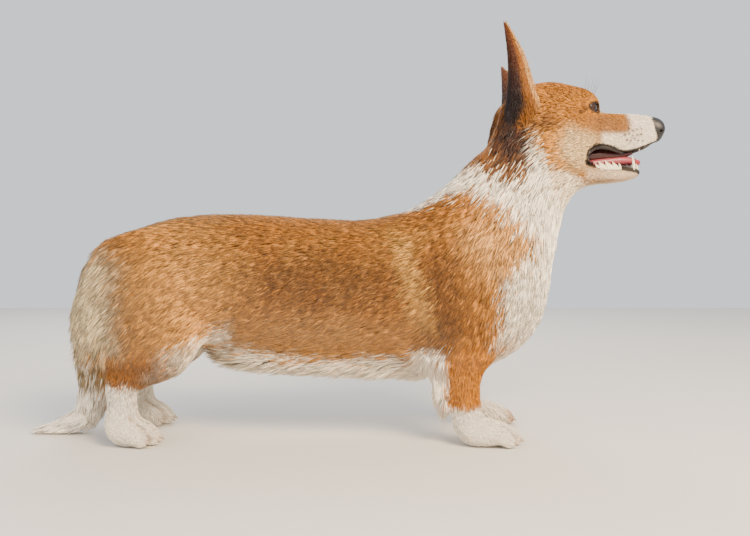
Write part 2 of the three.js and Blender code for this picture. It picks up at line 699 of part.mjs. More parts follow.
async function assemble() {
  const dog = new THREE.Group();
  const add = (name, solid, colour, roughness = 0.85) => {
    const mesh = largest(solid).getMesh();
    const positions = new Float32Array(mesh.numVert * 3);
    for (let i = 0; i < mesh.numVert; i++)
      positions.set(mesh.vertProperties.subarray(i * mesh.numProp, i * mesh.numProp + 3), i * 3);
    const geometry = new THREE.BufferGeometry();
    geometry.setAttribute("position", new THREE.BufferAttribute(positions, 3));
    geometry.setIndex(new THREE.BufferAttribute(mesh.triVerts, 1));
    const part = new THREE.Mesh(geometry, new THREE.MeshStandardMaterial({ color: colour, roughness, metalness: 0 }));
    part.name = name;
    dog.add(part);
    console.log(name, mesh.triVerts.length / 3);
  };

  // Head, jaw, tongue, nose, eyes and ears
  const neckPlane = [214, 328, 44];
  const headGrid = [lines(150, 14, 262, 7.5, 380), lines(-77, 14, -34, 7.5, 34, 14, 77), lines(250, 14, 292, 7.5, 394, 12, 430)];
  const headMesh = meshOf(bodyField, headGrid);
  const headSkin = meshOf(bodyField, headGrid, GAP);
  const noseGrid = cube([325, -24, 330], [380, 24, 384], 5);
  const tongueGrid = cube([262, -21, 303], [343, 21, 333], 7);
  const jawSpace = (grow) => box([264 - grow, -BIG, -BIG], [BIG, BIG, 323 + grow]);
  let head = [-1, 1].reduce((solid, side) => withEye(solid, side), headMesh);
  head = head.intersect(aheadOf(...neckPlane)).subtract(jawSpace(GAP)).subtract(meshOf(noseField, noseGrid, GAP));
  let lowerJaw = headMesh.intersect(jawSpace(0));
  for (const side of [-1, 1]) {
    for (const [x, y, height, radius] of LOWER_TEETH)
      lowerJaw = lowerJaw.add(cone([x, side * y, 310], [x + 1, side * (y - 0.6), 314.5 + height], radius));
    for (const [x, y, height, radius] of UPPER_TEETH)
      head = head.add(cone([x, side * y, 348], [x - 1, side * y, 335 - height], radius));
  }
  lowerJaw = lowerJaw.intersect(jawSpace(0)).subtract(meshOf(tongueField, tongueGrid, GAP));
  add("head", head, "#c98f55");
  add("lower_jaw", lowerJaw, "#e8d9c0");
  add("tongue", meshOf(tongueField, tongueGrid), "#b8505c", 0.5);
  add("nose", meshOf(noseField, noseGrid), "#1c1a1a", 0.5);
  add("eye_right", ball(EYE_RADIUS, [EYE[0], -EYE[1], EYE[2]], 2), "#2a1a10", 0.1);
  add("eye_left", ball(EYE_RADIUS, [EYE[0], EYE[1], EYE[2]], 2), "#2a1a10", 0.1);
  add("ear_right", earSolid([170, -38, 362], [166, -60, 470], -0.25, 5).subtract(headSkin).subtract(headMesh), "#a8703a");
  add("ear_left", earSolid([176, 40, 362], [184, 76, 449], 0.25, 4).subtract(headSkin).subtract(headMesh), "#a8703a");

  // Neck and trunk
  const trunkGrid = cube([-340, -121, 40], [272, 121, 434], 22);
  const trunkLocks = [...bibLocks(), ...breechLocks(-1), ...breechLocks(1), ...fringeLocks()];
  const trunkMesh = withLocks(meshOf(bodyField, trunkGrid), trunkLocks);
  const sides = [-1, 1];
  const cut = (solid, ...tools) => tools.reduce((left, tool) => left.subtract(tool), solid);
  const limbs = (grow) =>
    sides.flatMap((side) => [
      barrel(118, 172, 60, 56, side, grow),
      barrel(-246, 168, 74, 40, side, grow),
      legSpace(side, true, grow),
      legSpace(side, false, grow),
    ]);
  const neckBase = [176, 252, 52];
  const trunk = cut(trunkMesh, aheadOf(...neckBase), ...limbs(GAP));
  add("neck", cut(trunkMesh.intersect(aheadOf(...neckBase)).subtract(aheadOf(...neckPlane, GAP))), "#f1ece2");
  add("chest", trunk.subtract(aheadOf(...neckBase, GAP)).subtract(behind(20, GAP)), "#e9dcc6");
  add("abdomen", trunk.intersect(behind(20, 0)).subtract(behind(-150, GAP)), "#c98f55");
  add("rump", trunk.intersect(behind(-150, 0)), "#d3a878");
  for (const side of sides) {
    const name = (part) => `${part}_${side < 0 ? "right" : "left"}`;
    const shoulder = trunkMesh.intersect(barrel(118, 172, 60, 56, side, 0)).subtract(legSpace(side, true, GAP));
    add(name("shoulder"), shoulder.subtract(aheadOf(...neckBase, GAP)), "#c08548");
    const thigh = trunkMesh.intersect(barrel(-246, 168, 74, 40, side, 0)).subtract(legSpace(side, false, GAP));
    add(name("thigh"), thigh, "#c98f55");
    for (const front of [true, false]) {
      const step = side < 0 ? 0 : front ? FAR_FRONT_STEP : FAR_HIND_STEP;
      const [from, to] = front ? [56, 150] : [-300, -186];
      const legGrid = cube([from + step - 10, side * 56 - 48, 20], [to + step + 40, side * 56 + 48, 124], 13.5);
      const fleshy = withLocks(meshOf(bodyField, legGrid), front ? featherLocks(side, step) : []);
      const leg = fleshy.intersect(legSpace(side, front, 0)).subtract(belowAnkle(GAP));
      add(name(front ? "front_leg" : "hind_leg"), leg, front ? "#d9b489" : "#efe8dc");
      const heel = (front ? 112 : -276) + step;
      const pawGrid = cube([heel - 12, side * 56 - 37.5, -10.7], [heel + 93, side * 56 + 37.5, 49], 8.4);
      const toes = claws(side, heel, front ? 76 : 63);
      const paw = toes.reduce((solid, claw) => solid.add(claw), meshOf(bodyField, pawGrid)).intersect(floor);
      add(name(front ? "front_paw" : "hind_paw"), paw.intersect(belowAnkle(0)), "#f3efe8");
    }
  }

  // Tail
  const tailMesh = withLocks(meshOf(tailField, cube([-380, -36, -12], [-246, 36, 250], 12)), plumeLocks());
  const tail = tailMesh.intersect(floor).subtract(meshOf(bodyField, trunkGrid, GAP)).subtract(trunkMesh);
  const tipSpace = (grow) => box([-BIG, -BIG, -BIG], [BIG, BIG, 74 + grow]);
  add("tail_upper", tail.subtract(tipSpace(GAP)), "#8d7a66");
  add("tail_tip", tail.intersect(tipSpace(0)), "#f3efe8");
  return dog;
}
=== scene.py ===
# A life-size Pembroke Welsh corgi, standing still with its head up and its mouth open.
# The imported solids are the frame. One skin takes the place of all the flesh,
# and a coat of fine tufts grows on it.
import math

import bpy
import numpy as np
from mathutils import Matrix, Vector
from mathutils.kdtree import KDTree


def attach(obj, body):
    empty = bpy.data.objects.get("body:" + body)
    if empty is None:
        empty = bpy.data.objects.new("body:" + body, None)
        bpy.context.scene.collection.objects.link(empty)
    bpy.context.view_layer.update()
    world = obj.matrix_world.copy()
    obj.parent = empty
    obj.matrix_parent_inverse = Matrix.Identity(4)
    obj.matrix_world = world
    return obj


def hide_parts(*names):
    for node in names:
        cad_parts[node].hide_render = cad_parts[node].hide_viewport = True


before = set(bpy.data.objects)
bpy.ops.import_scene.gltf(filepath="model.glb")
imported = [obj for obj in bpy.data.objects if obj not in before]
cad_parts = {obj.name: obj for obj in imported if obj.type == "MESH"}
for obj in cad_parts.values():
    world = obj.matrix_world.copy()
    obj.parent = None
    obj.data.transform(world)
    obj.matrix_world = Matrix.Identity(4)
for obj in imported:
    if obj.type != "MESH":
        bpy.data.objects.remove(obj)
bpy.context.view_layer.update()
bpy.ops.object.select_all(action="DESELECT")

# The view: from the dog's right side, level with its shoulder, with an ordinary lens.
# The whole dog fills the width of the picture.
image_width, focal_px, sensor_mm, drop_px = 750, 826, 36, 21
bpy.ops.object.camera_add(location=(0.025, -0.975, 0.22), rotation=(math.radians(90), 0, 0))
camera = bpy.context.object
camera.data.lens = focal_px * sensor_mm / image_width
camera.data.shift_y = -drop_px / image_width
camera.data.clip_start = 0.01
bpy.context.scene.camera = camera

# The skin: bare hide over head, trunk, legs, feet and tail, in one closed surface.
# It has the forms of the flesh, and lies inside the solids by the depth of the coat.
# A field gives about the distance in mm to a form's surface, and is negative inside the form.
mm = 0.001
half_stance, far_front_step, far_hind_step = 56, 10, -12


def sweep(stations, steps=5):
    """A smooth tube in the XZ plane. Each station is [x, y, z, radius in that plane, radius sideways]."""
    s = np.array(stations, float)
    last = len(s) - 1
    rows = []
    for i in range(last):
        p, q, r, u = s[max(i - 1, 0)], s[i], s[i + 1], s[min(i + 2, last)]
        for t in np.arange(steps) / steps:
            rows.append(0.5 * (
                2 * q + (r - p) * t + (2 * p - 5 * q + 4 * r - u) * t**2 + (3 * q - p - 3 * r + u) * t**3
            ))
    rows = np.array(rows + [s[last]])
    reach = s[:, 3:].max() + 30
    low, high = rows[:, :3].min(0) - reach, rows[:, :3].max(0) + reach

    def field(points):
        value = np.full(len(points), 60.0)
        inside = np.all((points >= low) & (points <= high), axis=1)
        x, y, z = points[inside].T
        best = np.full(len(x), 1e9)
        for a, b in zip(rows[:-1], rows[1:]):
            dx, dy, dz = (b - a)[:3]
            t = np.clip(((x - a[0]) * dx + (z - a[2]) * dz) / (dx * dx + dz * dz + 1e-9), 0, 1)
            in_plane, side = a[3] + (b[3] - a[3]) * t, a[4] + (b[4] - a[4]) * t
            off = np.hypot(x - a[0] - dx * t, z - a[2] - dz * t) / in_plane
            across = (y - a[1] - dy * t) / side
            best = np.minimum(best, (np.hypot(off, across) - 1) * np.minimum(in_plane, side))
        value[inside] = best
        return value

    return field


def mass(centre, radii, pitch=0, turn=0):
    """An egg-shaped mass, pitched nose-up and turned outwards by angles in degrees."""
    p, q = math.radians(pitch), math.radians(turn)

    def field(points):
        dx, dy, dz = (points - centre).T
        along = dx * math.cos(q) + dy * math.sin(q)
        v = -dx * math.sin(q) + dy * math.cos(q)
        u = along * math.cos(p) + dz * math.sin(p)
        w = -along * math.sin(p) + dz * math.cos(p)
        return (np.sqrt((u / radii[0]) ** 2 + (v / radii[1]) ** 2 + (w / radii[2]) ** 2) - 1) * min(radii)

    return field


def smooth_min(a, b, k):
    h = np.maximum(k - np.abs(a - b), 0) / k
    return np.minimum(a, b) - h * h * k * 0.25


def smooth_max(a, b, k):
    return -smooth_min(-a, -b, k)


def joined(first, *rest):
    """Fields joined in order, each with the width of its own fillet."""

    def field(points):
        value = first(points)
        for other, k in rest:
            value = smooth_min(value, other(points), k)
        return value

    return field


def ring(x, back, belly, half_width):
    return [x, 0, (back + belly) / 2, (back - belly) / 2, half_width]


trunk = sweep([
    ring(-262, 216, 146, 54), ring(-236, 243, 118, 70), ring(-190, 258, 104, 80), ring(-125, 260, 95, 80),
    ring(-60, 256, 86, 84), ring(10, 253, 80, 90), ring(70, 262, 76, 93), ring(116, 272, 74, 90),
    ring(140, 258, 82, 80),
])
forechest = mass([166, 0, 178], [48, 54, 80], -24)
neck = sweep([
    [128, 0, 212, 62, 76], [158, 0, 240, 72, 70], [184, 0, 276, 66, 58], [206, 0, 310, 55, 50],
    [220, 0, 342, 48, 47],
])
keel = sweep([
    [-150, 0, 98, 12, 28], [-110, 0, 92, 13, 34], [-40, 0, 88, 13, 38], [40, 0, 86, 13, 40],
    [92, 0, 86, 12, 38],
])


def foreleg(side, step):
    y = side * half_stance
    return [
        (mass([108 + step / 2, side * 62, 168], [50, 32, 74], -14), 16),
        (mass([128 + step / 2, side * 60, 118], [38, 28, 36]), 14),
        (sweep([
            [122 + step, y, 112, 31, 24], [122 + step, y, 92, 25, 21], [125 + step, y, 64, 18, 17],
            [129 + step, y, 42, 15, 15.5], [130 + step, y, 26, 15.5, 17],
        ]), 12),
        (mass([104 + step, side * 57, 80], [17, 10, 42], 8), 6),
    ]


def hind_leg(side, step):
    y = side * half_stance
    return [
        (mass([-240 + step / 2, side * 52, 166], [60, 40, 72], 8), 22),
        (mass([-276 + step / 2, side * 42, 142], [36, 30, 54], -8), 20),
        (mass([-214 + step / 2, side * 58, 116], [46, 32, 42], 24), 18),
        (sweep([
            [-222 + step, y, 112, 36, 26], [-244 + step, y, 86, 26, 21], [-257 + step, y, 64, 18.5, 17],
            [-256 + step, y, 44, 17, 16], [-253 + step, y, 26, 17, 17.5],
        ]), 14),
    ]


toe_pitch = 12.5


def toe_path(side, heel_x, length, toe):
    offset = (toe - 1.5) * toe_pitch
    reach = length - (0 if abs(offset) < toe_pitch else 9)
    y = side * half_stance + offset
    return (
        [heel_x + reach * 0.3, side * half_stance + offset * 0.75, 19],
        [heel_x + reach * 0.68, y, 16],
        [heel_x + reach - 8, y + offset * 0.08, 8],
    )


def foot(side, heel_x, length):
    y = side * half_stance
    heel = [[heel_x + 16, y, 24, 16, 17], [heel_x + 22, y, 12, 14, 20], [heel_x + 38, y, 12, 14, 23]]
    pad = [[heel_x + 30, y, 12, 11, 20], [heel_x + length * 0.7, y, 10.5, 9.5, 19]]
    fields = [(sweep(heel), 10), (sweep(pad), 6)]
    for toe in range(4):
        root, knuckle, tip = toe_path(side, heel_x, length, toe)
        fields.append((sweep([root + [11, 8], knuckle + [10.5, 7.6], tip + [8, 6.4]], 4), 4))
    return fields


feet = [(-1, 112, 76), (1, 112 + far_front_step, 76), (-1, -276, 63), (1, -276 + far_hind_step, 63)]
trunk_and_limbs = joined(
    trunk, (forechest, 26), (neck, 34), (keel, 10),
    *foreleg(-1, 0), *foreleg(1, far_front_step), *hind_leg(-1, 0), *hind_leg(1, far_hind_step),
    *[part for one in feet for part in foot(*one)],
)
head_forms = [(mass([212, 0, 350], [38, 48, 42]), 16)]
for side in (-1, 1):
    head_forms += [
        (mass([236, side * 27, 340], [38, 24, 36], 8, side * 10), 14),
        (mass([266, side * 16, 388], [20, 16, 15], -24), 10),
        (mass([199, side * 34, 376], [24, 18, 24]), 12),
        (mass([184, side * 32, 350], [21, 15, 30], -10), 12),
    ]
head_forms.append((sweep([
    [266, 0, 352, 28, 36], [286, 0, 353, 25.5, 29], [306, 0, 353.5, 24, 22], [326, 0, 355, 22, 18.5],
    [342, 0, 357, 18.5, 16.5], [349, 0, 358, 15, 14],
]), 10))
for side in (-1, 1):
    head_forms.append((mass([306, side * 12.5, 342], [36, 9.5, 12.5], 0, -side * 7), 5))
jaw = sweep([
    [244, 0, 307, 20, 33], [264, 0, 305, 15, 27], [284, 0, 305.5, 12.5, 21], [306, 0, 305.5, 10.5, 16.5],
    [322, 0, 306.5, 8.5, 13.5], [330, 0, 307.5, 6.5, 11],
])
whole_head = joined(mass([232, 0, 370], [52, 49, 44], -7), *head_forms, (jaw, 8))
mouth_gap = sweep([
    [272, 0, 325, 5, 90], [281, 0, 327, 8.5, 90], [294, 0, 326, 8.7, 90], [308, 0, 323, 6.6, 90],
    [322, 0, 322, 7.6, 90], [338, 0, 323, 11, 90], [366, 0, 326, 18, 90],
])
mouth_inside = sweep([
    [277, 0, 326, 13, 18], [296, 0, 327, 15, 15.5], [316, 0, 325, 13, 11.5], [331, 0, 324, 12, 8],
])
tail = sweep([
    [-282, 0, 222, 15, 15], [-303, 0, 196, 18, 17], [-309, 0, 150, 20, 18], [-308, 0, 100, 22, 19],
    [-305, 0, 62, 22, 18], [-311, 0, 30, 19, 16], [-334, 0, 14, 13, 12], [-360, 0, 7, 7.5, 9],
])
eye_place, eye_radius, eye_turn, lid = np.array([269.5, 22.5, 380.0]), 10.5, 40, 2.4
eye_out = np.array([math.cos(math.radians(eye_turn)), math.sin(math.radians(eye_turn)), 0])
eye_ball = mass(eye_place, [eye_radius + lid] * 3)
eye_socket = mass(eye_place, [eye_radius - 0.4] * 3)
eye_opening = mass(eye_place + eye_out * 9.5, [9, 9.2, 5.4], 0, eye_turn)


def mirrored(points):
    """The points, with those of the right side carried over to the left."""
    return points * [1, 0, 1] + np.abs(points) * [0, 1, 0]


def closed_mouth_field(points):
    """The flesh with the mouth not yet opened."""
    value = trunk_and_limbs(points)
    front = (points[:, 0] >= 120) & (points[:, 2] >= 230)
    value[front] = smooth_min(value[front], whole_head(points[front]), 22)
    return value


toe_creases = [
    mass([heel_x + length * 0.84, side * half_stance + shift * toe_pitch, 19], [21, 1.9, 11], -14)
    for side, heel_x, length in feet for shift in (-1, 0, 1)
]


def skin_field(points):
    value = closed_mouth_field(points)
    low = points[:, 2] < 42
    for crease in toe_creases:
        value[low] = smooth_max(value[low], -crease(points[low]), 2)
    front = (points[:, 0] >= 255) & (points[:, 2] >= 280)
    p = points[front]
    v = smooth_min(value[front], eye_ball(mirrored(p)), 4)
    v = smooth_max(v, -eye_opening(mirrored(p)), 1.5)
    v = smooth_max(v, -eye_socket(mirrored(p)), 0.8)
    v = smooth_max(v, -mouth_gap(p), 3)
    value[front] = smooth_max(v, -mouth_inside(p), 3)
    back = points[:, 0] < -230
    value[back] = smooth_min(value[back], tail(points[back]), 8)
    return value


def lines(start, *steps_and_marks):
    """The lines of a grid: from a start, a step up to each next mark."""
    out = [float(start)]
    for step, mark in zip(steps_and_marks[::2], steps_and_marks[1::2]):
        count = max(1, round((mark - out[-1]) / step))
        out += list(out[-1] + (mark - out[-1]) * np.arange(1, count + 1) / count)
    return np.array(out)


def sampled(field, grid, near=17.0):
    """The field on a grid. It is worked out in full only near the surface."""
    shape = [len(g) for g in grid]
    coarse = [g[::3] for g in grid]
    mesh = np.stack(np.meshgrid(*coarse, indexing="ij"), -1).reshape(-1, 3)
    rough = field(mesh).reshape([len(c) for c in coarse])
    close = np.abs(rough) < near
    for axis in range(3):
        for shift in (-1, 1):
            close = close | np.roll(close, shift, axis)
    for axis in range(3):
        rough, close = (np.repeat(a, 3, axis) for a in (rough, close))
    values = rough[: shape[0], : shape[1], : shape[2]].copy()
    where = np.nonzero(close[: shape[0], : shape[1], : shape[2]])
    values[where] = field(np.stack([g[w] for g, w in zip(grid, where)], 1))
    for axis in range(3):
        for end in (0, -1):
            edge = [slice(None)] * 3
            edge[axis] = end
            values[tuple(edge)] = np.maximum(values[tuple(edge)], 1)
    return values


def settle_saddles(values):
    """Where a grid face is inside and outside by turns, one corner is taken inside.
    So no edge of the surface has four faces."""
    for _ in range(6):
        found = 0
        for u, v in ((0, 1), (1, 2), (2, 0)):
            def part(du, dv):
                cut = [slice(None)] * 3
                cut[u] = slice(1, None) if du else slice(None, -1)
                cut[v] = slice(1, None) if dv else slice(None, -1)
                return tuple(cut)
            a, b, c, d = (values[part(*q)] < 0 for q in ((0, 0), (1, 0), (1, 1), (0, 1)))
            odd = (a == c) & (b == d) & (a != b)
            found += odd.sum()
            values[part(1, 0)][odd & a] = -0.01
            values[part(0, 0)][odd & ~a] = -0.01
        if not found:
            break


def surface(field, grid):
    """A closed mesh of the field's surface: (corners, four-sided faces)."""
    values = sampled(field, grid)
    settle_saddles(values)
    inside = values < 0
    nx, ny, nz = values.shape
    count = sum(
        inside[i : nx - 1 + i, j : ny - 1 + j, k : nz - 1 + k].astype(np.int8)
        for i in (0, 1) for j in (0, 1) for k in (0, 1)
    )
    cells = np.stack(np.nonzero((count > 0) & (count < 8)), 1)
    number = np.full((nx - 1, ny - 1, nz - 1), -1)
    number[tuple(cells.T)] = np.arange(len(cells))
    total, hits = np.zeros((len(cells), 3)), np.zeros(len(cells))
    for axis in range(3):
        for e in range(4):
            a = cells.copy()
            a[:, (axis + 1) % 3] += e & 1
            a[:, (axis + 2) % 3] += e >> 1
            b = a.copy()
            b[:, axis] += 1
            va, vb = values[tuple(a.T)], values[tuple(b.T)]
            cross = (va < 0) != (vb < 0)
            place = np.stack([g[c] for g, c in zip(grid, a.T)], 1)
            span = grid[axis][b[:, axis]] - grid[axis][a[:, axis]]
            place[:, axis] += span * va / np.where(cross, va - vb, 1)
            total += place * cross[:, None]
            hits += cross
    points = total / hits[:, None]
    faces = []
    for axis in range(3):
        u, v = (axis + 1) % 3, (axis + 2) % 3
        low, high = [slice(None)] * 3, [slice(None)] * 3
        low[axis], high[axis] = slice(None, -1), slice(1, None)
        edge = np.stack(np.nonzero(inside[tuple(low)] != inside[tuple(high)]), 1)
        quad = []
        for du, dv in ((0, 0), (-1, 0), (-1, -1), (0, -1)):
            cell = edge.copy()
            cell[:, u] += du
            cell[:, v] += dv
            quad.append(number[tuple(cell.T)])
        quad = np.stack(quad, 1)
        out = ~inside[tuple(edge.T)]
        quad[out] = quad[out, ::-1]
        faces.append(quad)
    # Three rounds bring the corners from the cells' middles onto the surface itself
    for _ in range(3):
        value, slope = field(points), gradient(field, points)
        size = np.maximum(np.linalg.norm(slope, axis=1, keepdims=True), 0.2)
        points = points - np.clip(value[:, None] / size, -1, 1) * slope / size
    return points, np.concatenate(faces)


def gradient(field, points, h=0.4):
    return np.stack([(field(points + step) - field(points - step)) / (2 * h) for step in np.eye(3) * h], 1)


def unit(vectors):
    return vectors / np.maximum(np.linalg.norm(vectors, axis=-1, keepdims=True), 1e-9)


def ramp(value, start, end):
    t = np.clip((value - start) / (end - start), 0, 1)
    return t * t * (3 - 2 * t)


def head_share(points):
    """0 on the trunk and 1 on the head, across the back of the skull and the throat."""
    return ramp((points[:, 0] - 214) * 0.72 + (points[:, 2] - 328) * 0.69, -24, 22)


def coat_depth(points):
    """How far the hide lies under the coat's surface, in mm."""
    x, y, z = points.T
    head = head_share(points)
    depth = 7.0 - 5.2 * head - 0.7 * head * ramp(x, 285, 315)
    leg = ramp(z, 118, 78) * ramp(np.abs(y), 26, 40) * (1 - head)
    depth = depth * (1 - leg) + 3.4 * leg
    depth -= 1.2 * ramp(z, 46, 26)
    tail_part = ramp(x, -296, -304) * ramp(np.abs(y), 24, 18)
    depth = depth * (1 - tail_part) + np.interp(z, [8, 30, 60], [3.5, 6, 8.5]) * tail_part
    mouth = np.minimum(np.abs(mouth_gap(points)), np.abs(mouth_inside(points)))
    eyes = eye_ball(mirrored(points))
    return depth * ramp(np.where(head > 0.3, mouth, 9), 0.2, 6) * ramp(np.where(head > 0.3, eyes, 9), 0.5, 5)


skin_grid = [
    lines(-374, 4.4, 210, 2.2, 380),
    lines(-122, 4.4, -56, 2.2, 56, 4.4, 122),
    lines(-12, 3, 42, 4.4, 290, 2.2, 432),
]
skin_points, skin_faces = surface(skin_field, skin_grid)
skin_normals = unit(gradient(skin_field, skin_points))
skin_points = skin_points - skin_normals * coat_depth(skin_points)[:, None]
skin_points[:, 2] = np.maximum(skin_points[:, 2], 0.6)


def linear(colour):
    """A colour written as sRGB hex, as linear light."""
    s = np.array([int(colour[i : i + 2], 16) for i in (1, 3, 5)]) / 255
    return np.where(s <= 0.04045, s / 12.92, ((s + 0.055) / 1.055) ** 2.4)


def node(tree, kind, links=(), **values):
    """Adds a node. Capitalised names with _ for a space are its sockets, the others are its own settings."""
    made = tree.nodes.new(kind)
    for name, value in values.items():
        if name[0].isupper():
            made.inputs[name.replace("_", " ")].default_value = value
        else:
            setattr(made, name, value)
    for source, output, target in links:
        tree.links.new(source.outputs[output], made.inputs[target])
    return made


def give(shader, **values):
    """Sets the shader's sockets. _ stands for a space in a socket's name."""
    for name, value in values.items():
        shader.inputs[name.replace("_", " ")].default_value = value


def relief(tree, shader, kind, output, strength, depth, **pattern):
    """A fine bump all over, from a texture in the piece's own metres. depth is in metres too."""
    where = node(tree, "ShaderNodeTexCoord")
    grain = node(tree, kind, [(where, "Object", "Vector")], **pattern)
    bump = node(tree, "ShaderNodeBump", [(grain, output, "Height")], Strength=strength, Distance=depth)
    tree.links.new(bump.outputs["Normal"], shader.inputs["Normal"])


def finish_of(name, build):
    """A material. build(tree, shader) sets the shader's look."""
    material = bpy.data.materials.new(name)
    material.use_nodes = True
    build(material.node_tree, material.node_tree.nodes["Principled BSDF"])
    return material


def mesh_object(name, points, faces, material):
    """An object of one mesh, from corners in mm and faces that all have as many corners."""
    mesh = bpy.data.meshes.new(name)
    count, sides = faces.shape
    mesh.vertices.add(len(points))
    mesh.vertices.foreach_set("co", (points * mm).astype(np.float32).ravel())
    mesh.loops.add(faces.size)
    mesh.loops.foreach_set("vertex_index", faces.astype(np.int32).ravel())
    mesh.polygons.add(count)
    mesh.polygons.foreach_set("loop_start", np.arange(0, faces.size, sides, dtype=np.int32))
    mesh.polygons.foreach_set("use_smooth", np.full(count, True))
    mesh.update(calc_edges=True)
    mesh.materials.append(material)
    made = bpy.data.objects.new(name, mesh)
    bpy.context.collection.objects.link(made)
    return made


def paint(thing, colours):
    """Gives each corner of the mesh its colour, in linear light."""
    layer = thing.data.color_attributes.new("coat colour", "FLOAT_COLOR", "POINT")
    layer.data.foreach_set("color", np.c_[colours, np.ones(len(colours))].astype(np.float32).ravel())


def wobble(points, size, seed=0):
    """A soft random value from about -1 to 1, that changes over the given size in mm."""
    rng = np.random.default_rng(seed)
    value = np.zeros(len(points))
    for share in (0.6, 0.4, 0.3):
        a, b, c = rng.normal(size=(3, 3)) * 3.2 / size
        phase = rng.uniform(0, 6.28, 3)
        bent = 1.5 * np.sin(points @ b + phase[1])
        value += share * np.sin(points @ a + phase[0] + bent) * np.cos(points @ c + phase[2])
        size *= 0.5
    return value


def spot(x, z, centre, radii, edge=0.35):
    """A soft spot in the side view: 1 in the middle and 0 outside."""
    return ramp(np.hypot((x - centre[0]) / radii[0], (z - centre[1]) / radii[1]), 1 + edge, 1 - edge)


whisker_rows = [
    (x, z + 1.3 * math.sin(1.7 * x))
    for z, first in ((356, 319), (350, 314), (344, 316)) for x in np.arange(first, 338, 5)
]


def coat_colour(points, ear, edge, inner):
    """The dog's markings, with painted shade and highlights in places, the same on both sides.
    ear is 0 to 1 from the ear's root to its tip, and -1 elsewhere.
    edge is 1 along the ear's rim and 0 down the middle, and inner is 1 inside its cone."""
    x, y, z = points.T
    across = np.abs(y)
    rough = 5 * wobble(points, 26, 1) + 3 * wobble(points, 9, 2)
    colour = np.tile(linear("#cf8f50"), (len(points), 1))

    def lay(shade, amount):
        amount = np.clip(amount, 0, 1)[:, None]
        colour[:] = colour * (1 - amount) + linear(shade) * amount

    # Sable shading and lighter ground of the trunk, darker on the shoulder, with painted highlights along the
    # fold of fur behind the shoulder and along the shoulder's crest
    lay("#e6ab68", 0.6 * ramp(wobble(points, 110, 3), -0.2, 0.6))
    lay("#a56a34", 0.5 * ramp(wobble(points * [1, 1, 0.6], 70, 4), 0.0, 0.8))
    lay("#d08b4e", 0.5 * ramp(z, 240, 256) * ramp(x, 120, 90))
    lay("#80552e", 0.66 * spot(x, z, (96, 152), (26, 60)) * ramp(across, 40, 60))
    lay("#7d5430", 0.62 * spot(x, z, (-34, 184), (100, 30), 0.6))
    lay("#7d5430", 0.35 * ramp(wobble(points * [0.6, 1, 1], 30, 12), 0.1, 0.7) * ramp(x, 130, 100))
    lay("#94632f", 0.5 * spot(x, z, (-236, 150), (24, 46), 0.6))
    lay("#ffc27a", 0.75 * spot(x, z, (-184, 170), (62, 66), 0.7))
    lay("#f2bd82", 0.5 * spot(x, z, (-60, 122), (120, 24), 0.7))
    lay("#ffc98a", 0.75 * spot(x, z, (166, 220), (44, 36), 0.7))
    # Painted highlight: a light band along the fold of fur behind the shoulder
    fold = np.abs((x - 50) + (z - 233) * 0.3 + 0.8 * rough)
    lay("#ffc97e", 0.9 * ramp(fold, 18, 3) * ramp(np.abs(z - 184), 70, 30))
    # Painted highlight along the crest of the shoulder
    crest = np.abs((x - 118) + (236 - z) * -1.25 + rough)
    lay("#f0c68c", 0.4 * ramp(crest, 12, 2) * ramp(np.abs(x - 148), 36, 20))
    # Pale breeches, flank and belly
    lay("#e6d3ae", ramp(x + rough, -236, -276) * ramp(z, 84, 104) * ramp(z, 224, 198))
    flank = ramp(z - 84 - 0.62 * (x + 226) + rough, 6, -6) * ramp(x, -240, -224)
    lay("#fbf1de", 0.95 * (flank * ramp(x, -128, -146) * ramp(z, 62, 72)) * ramp(across, 26, 40))
    lay("#fbf1de", ramp(z + rough, 104, 90) * ramp(x, -8, 12) * ramp(x, 112, 96))
    belly_line = z - 14 * ramp(x, -50, -125) + 0.6 * rough
    lay("#f3e8d3", ramp(belly_line, 97, 86) * ramp(x, -215, -195) * ramp(x, 112, 96))
    # White chest, collar and throat
    edge_x = np.interp(
        z,
        [40, 60, 99, 118, 145, 169, 180, 192, 203, 214, 228, 236, 240, 262, 278, 284],
        [150, 148, 149, 153, 163, 165, 158, 172, 188, 200, 206, 197, 187, 166, 143, 84],
    )
    edge_x = edge_x - (52 + 0.2 * z) * ramp(across, 40, 22)
    lay("#fff7e6", ramp(x - edge_x + 0.7 * rough, -3, 4) * ramp(z, 60, 70))
    nape = np.interp(x, [90, 134, 192, 215], [322, 312, 285, 262])
    lay("#a8703c", ramp(z - nape + rough, -3, 5) * ramp(x, 206, 196))
    lay("#371a0b", 0.94 * spot(x, z, (178, 340), (25, 38), 0.6) * ramp(across, 10, 30))
    # Legs and feet
    fore = ramp(x, 60, 75) * ramp(x, 200, 180) * ramp(across, 20, 30)
    lay("#e29a50", fore * ramp(z, 118, 104) * ramp(x, 100, 108))
    behind_or_within = np.maximum(ramp(x + 0.5 * rough, 108, 100), ramp(across, 52, 46))
    lay("#fbf2e2", fore * ramp(z, 112, 100) * behind_or_within)
    lay("#fff8ea", fore * ramp(z + 0.5 * rough, 44, 37))
    hind = ramp(x, -180, -200) * ramp(across, 20, 30)
    lay("#9a6635", 0.7 * hind * ramp(z, 108, 88) * ramp(across, 44, 58))
    lay("#f6ecdc", hind * ramp(z, 118, 100) * ramp(across, 52, 42))
    lay("#fff8ea", hind * ramp(z + 0.18 * (x + 250) + 0.5 * rough, 69, 60))
    # Painted shade: darker beige in the creases between the toes
    low = z < 40
    shade = np.zeros(len(points))
    for crease in toe_creases:
        shade[low] = np.maximum(shade[low], ramp(crease(points[low]), 1.6, 0.2))
    lay("#b39a80", 0.7 * shade)
    # Tail: greyed brown, then white
    tail_part = ramp(x, -289, -296) * ramp(across, 30, 22) * ramp(z, 218, 200)
    lay("#b9a480", tail_part)
    lay("#8d7353", 0.7 * tail_part * ramp(wobble(points, 30, 6), -0.2, 0.5))
    lay("#f8f0e2", ramp(x, -284, -290) * ramp(z + rough, 66, 56) * ramp(across, 30, 24))
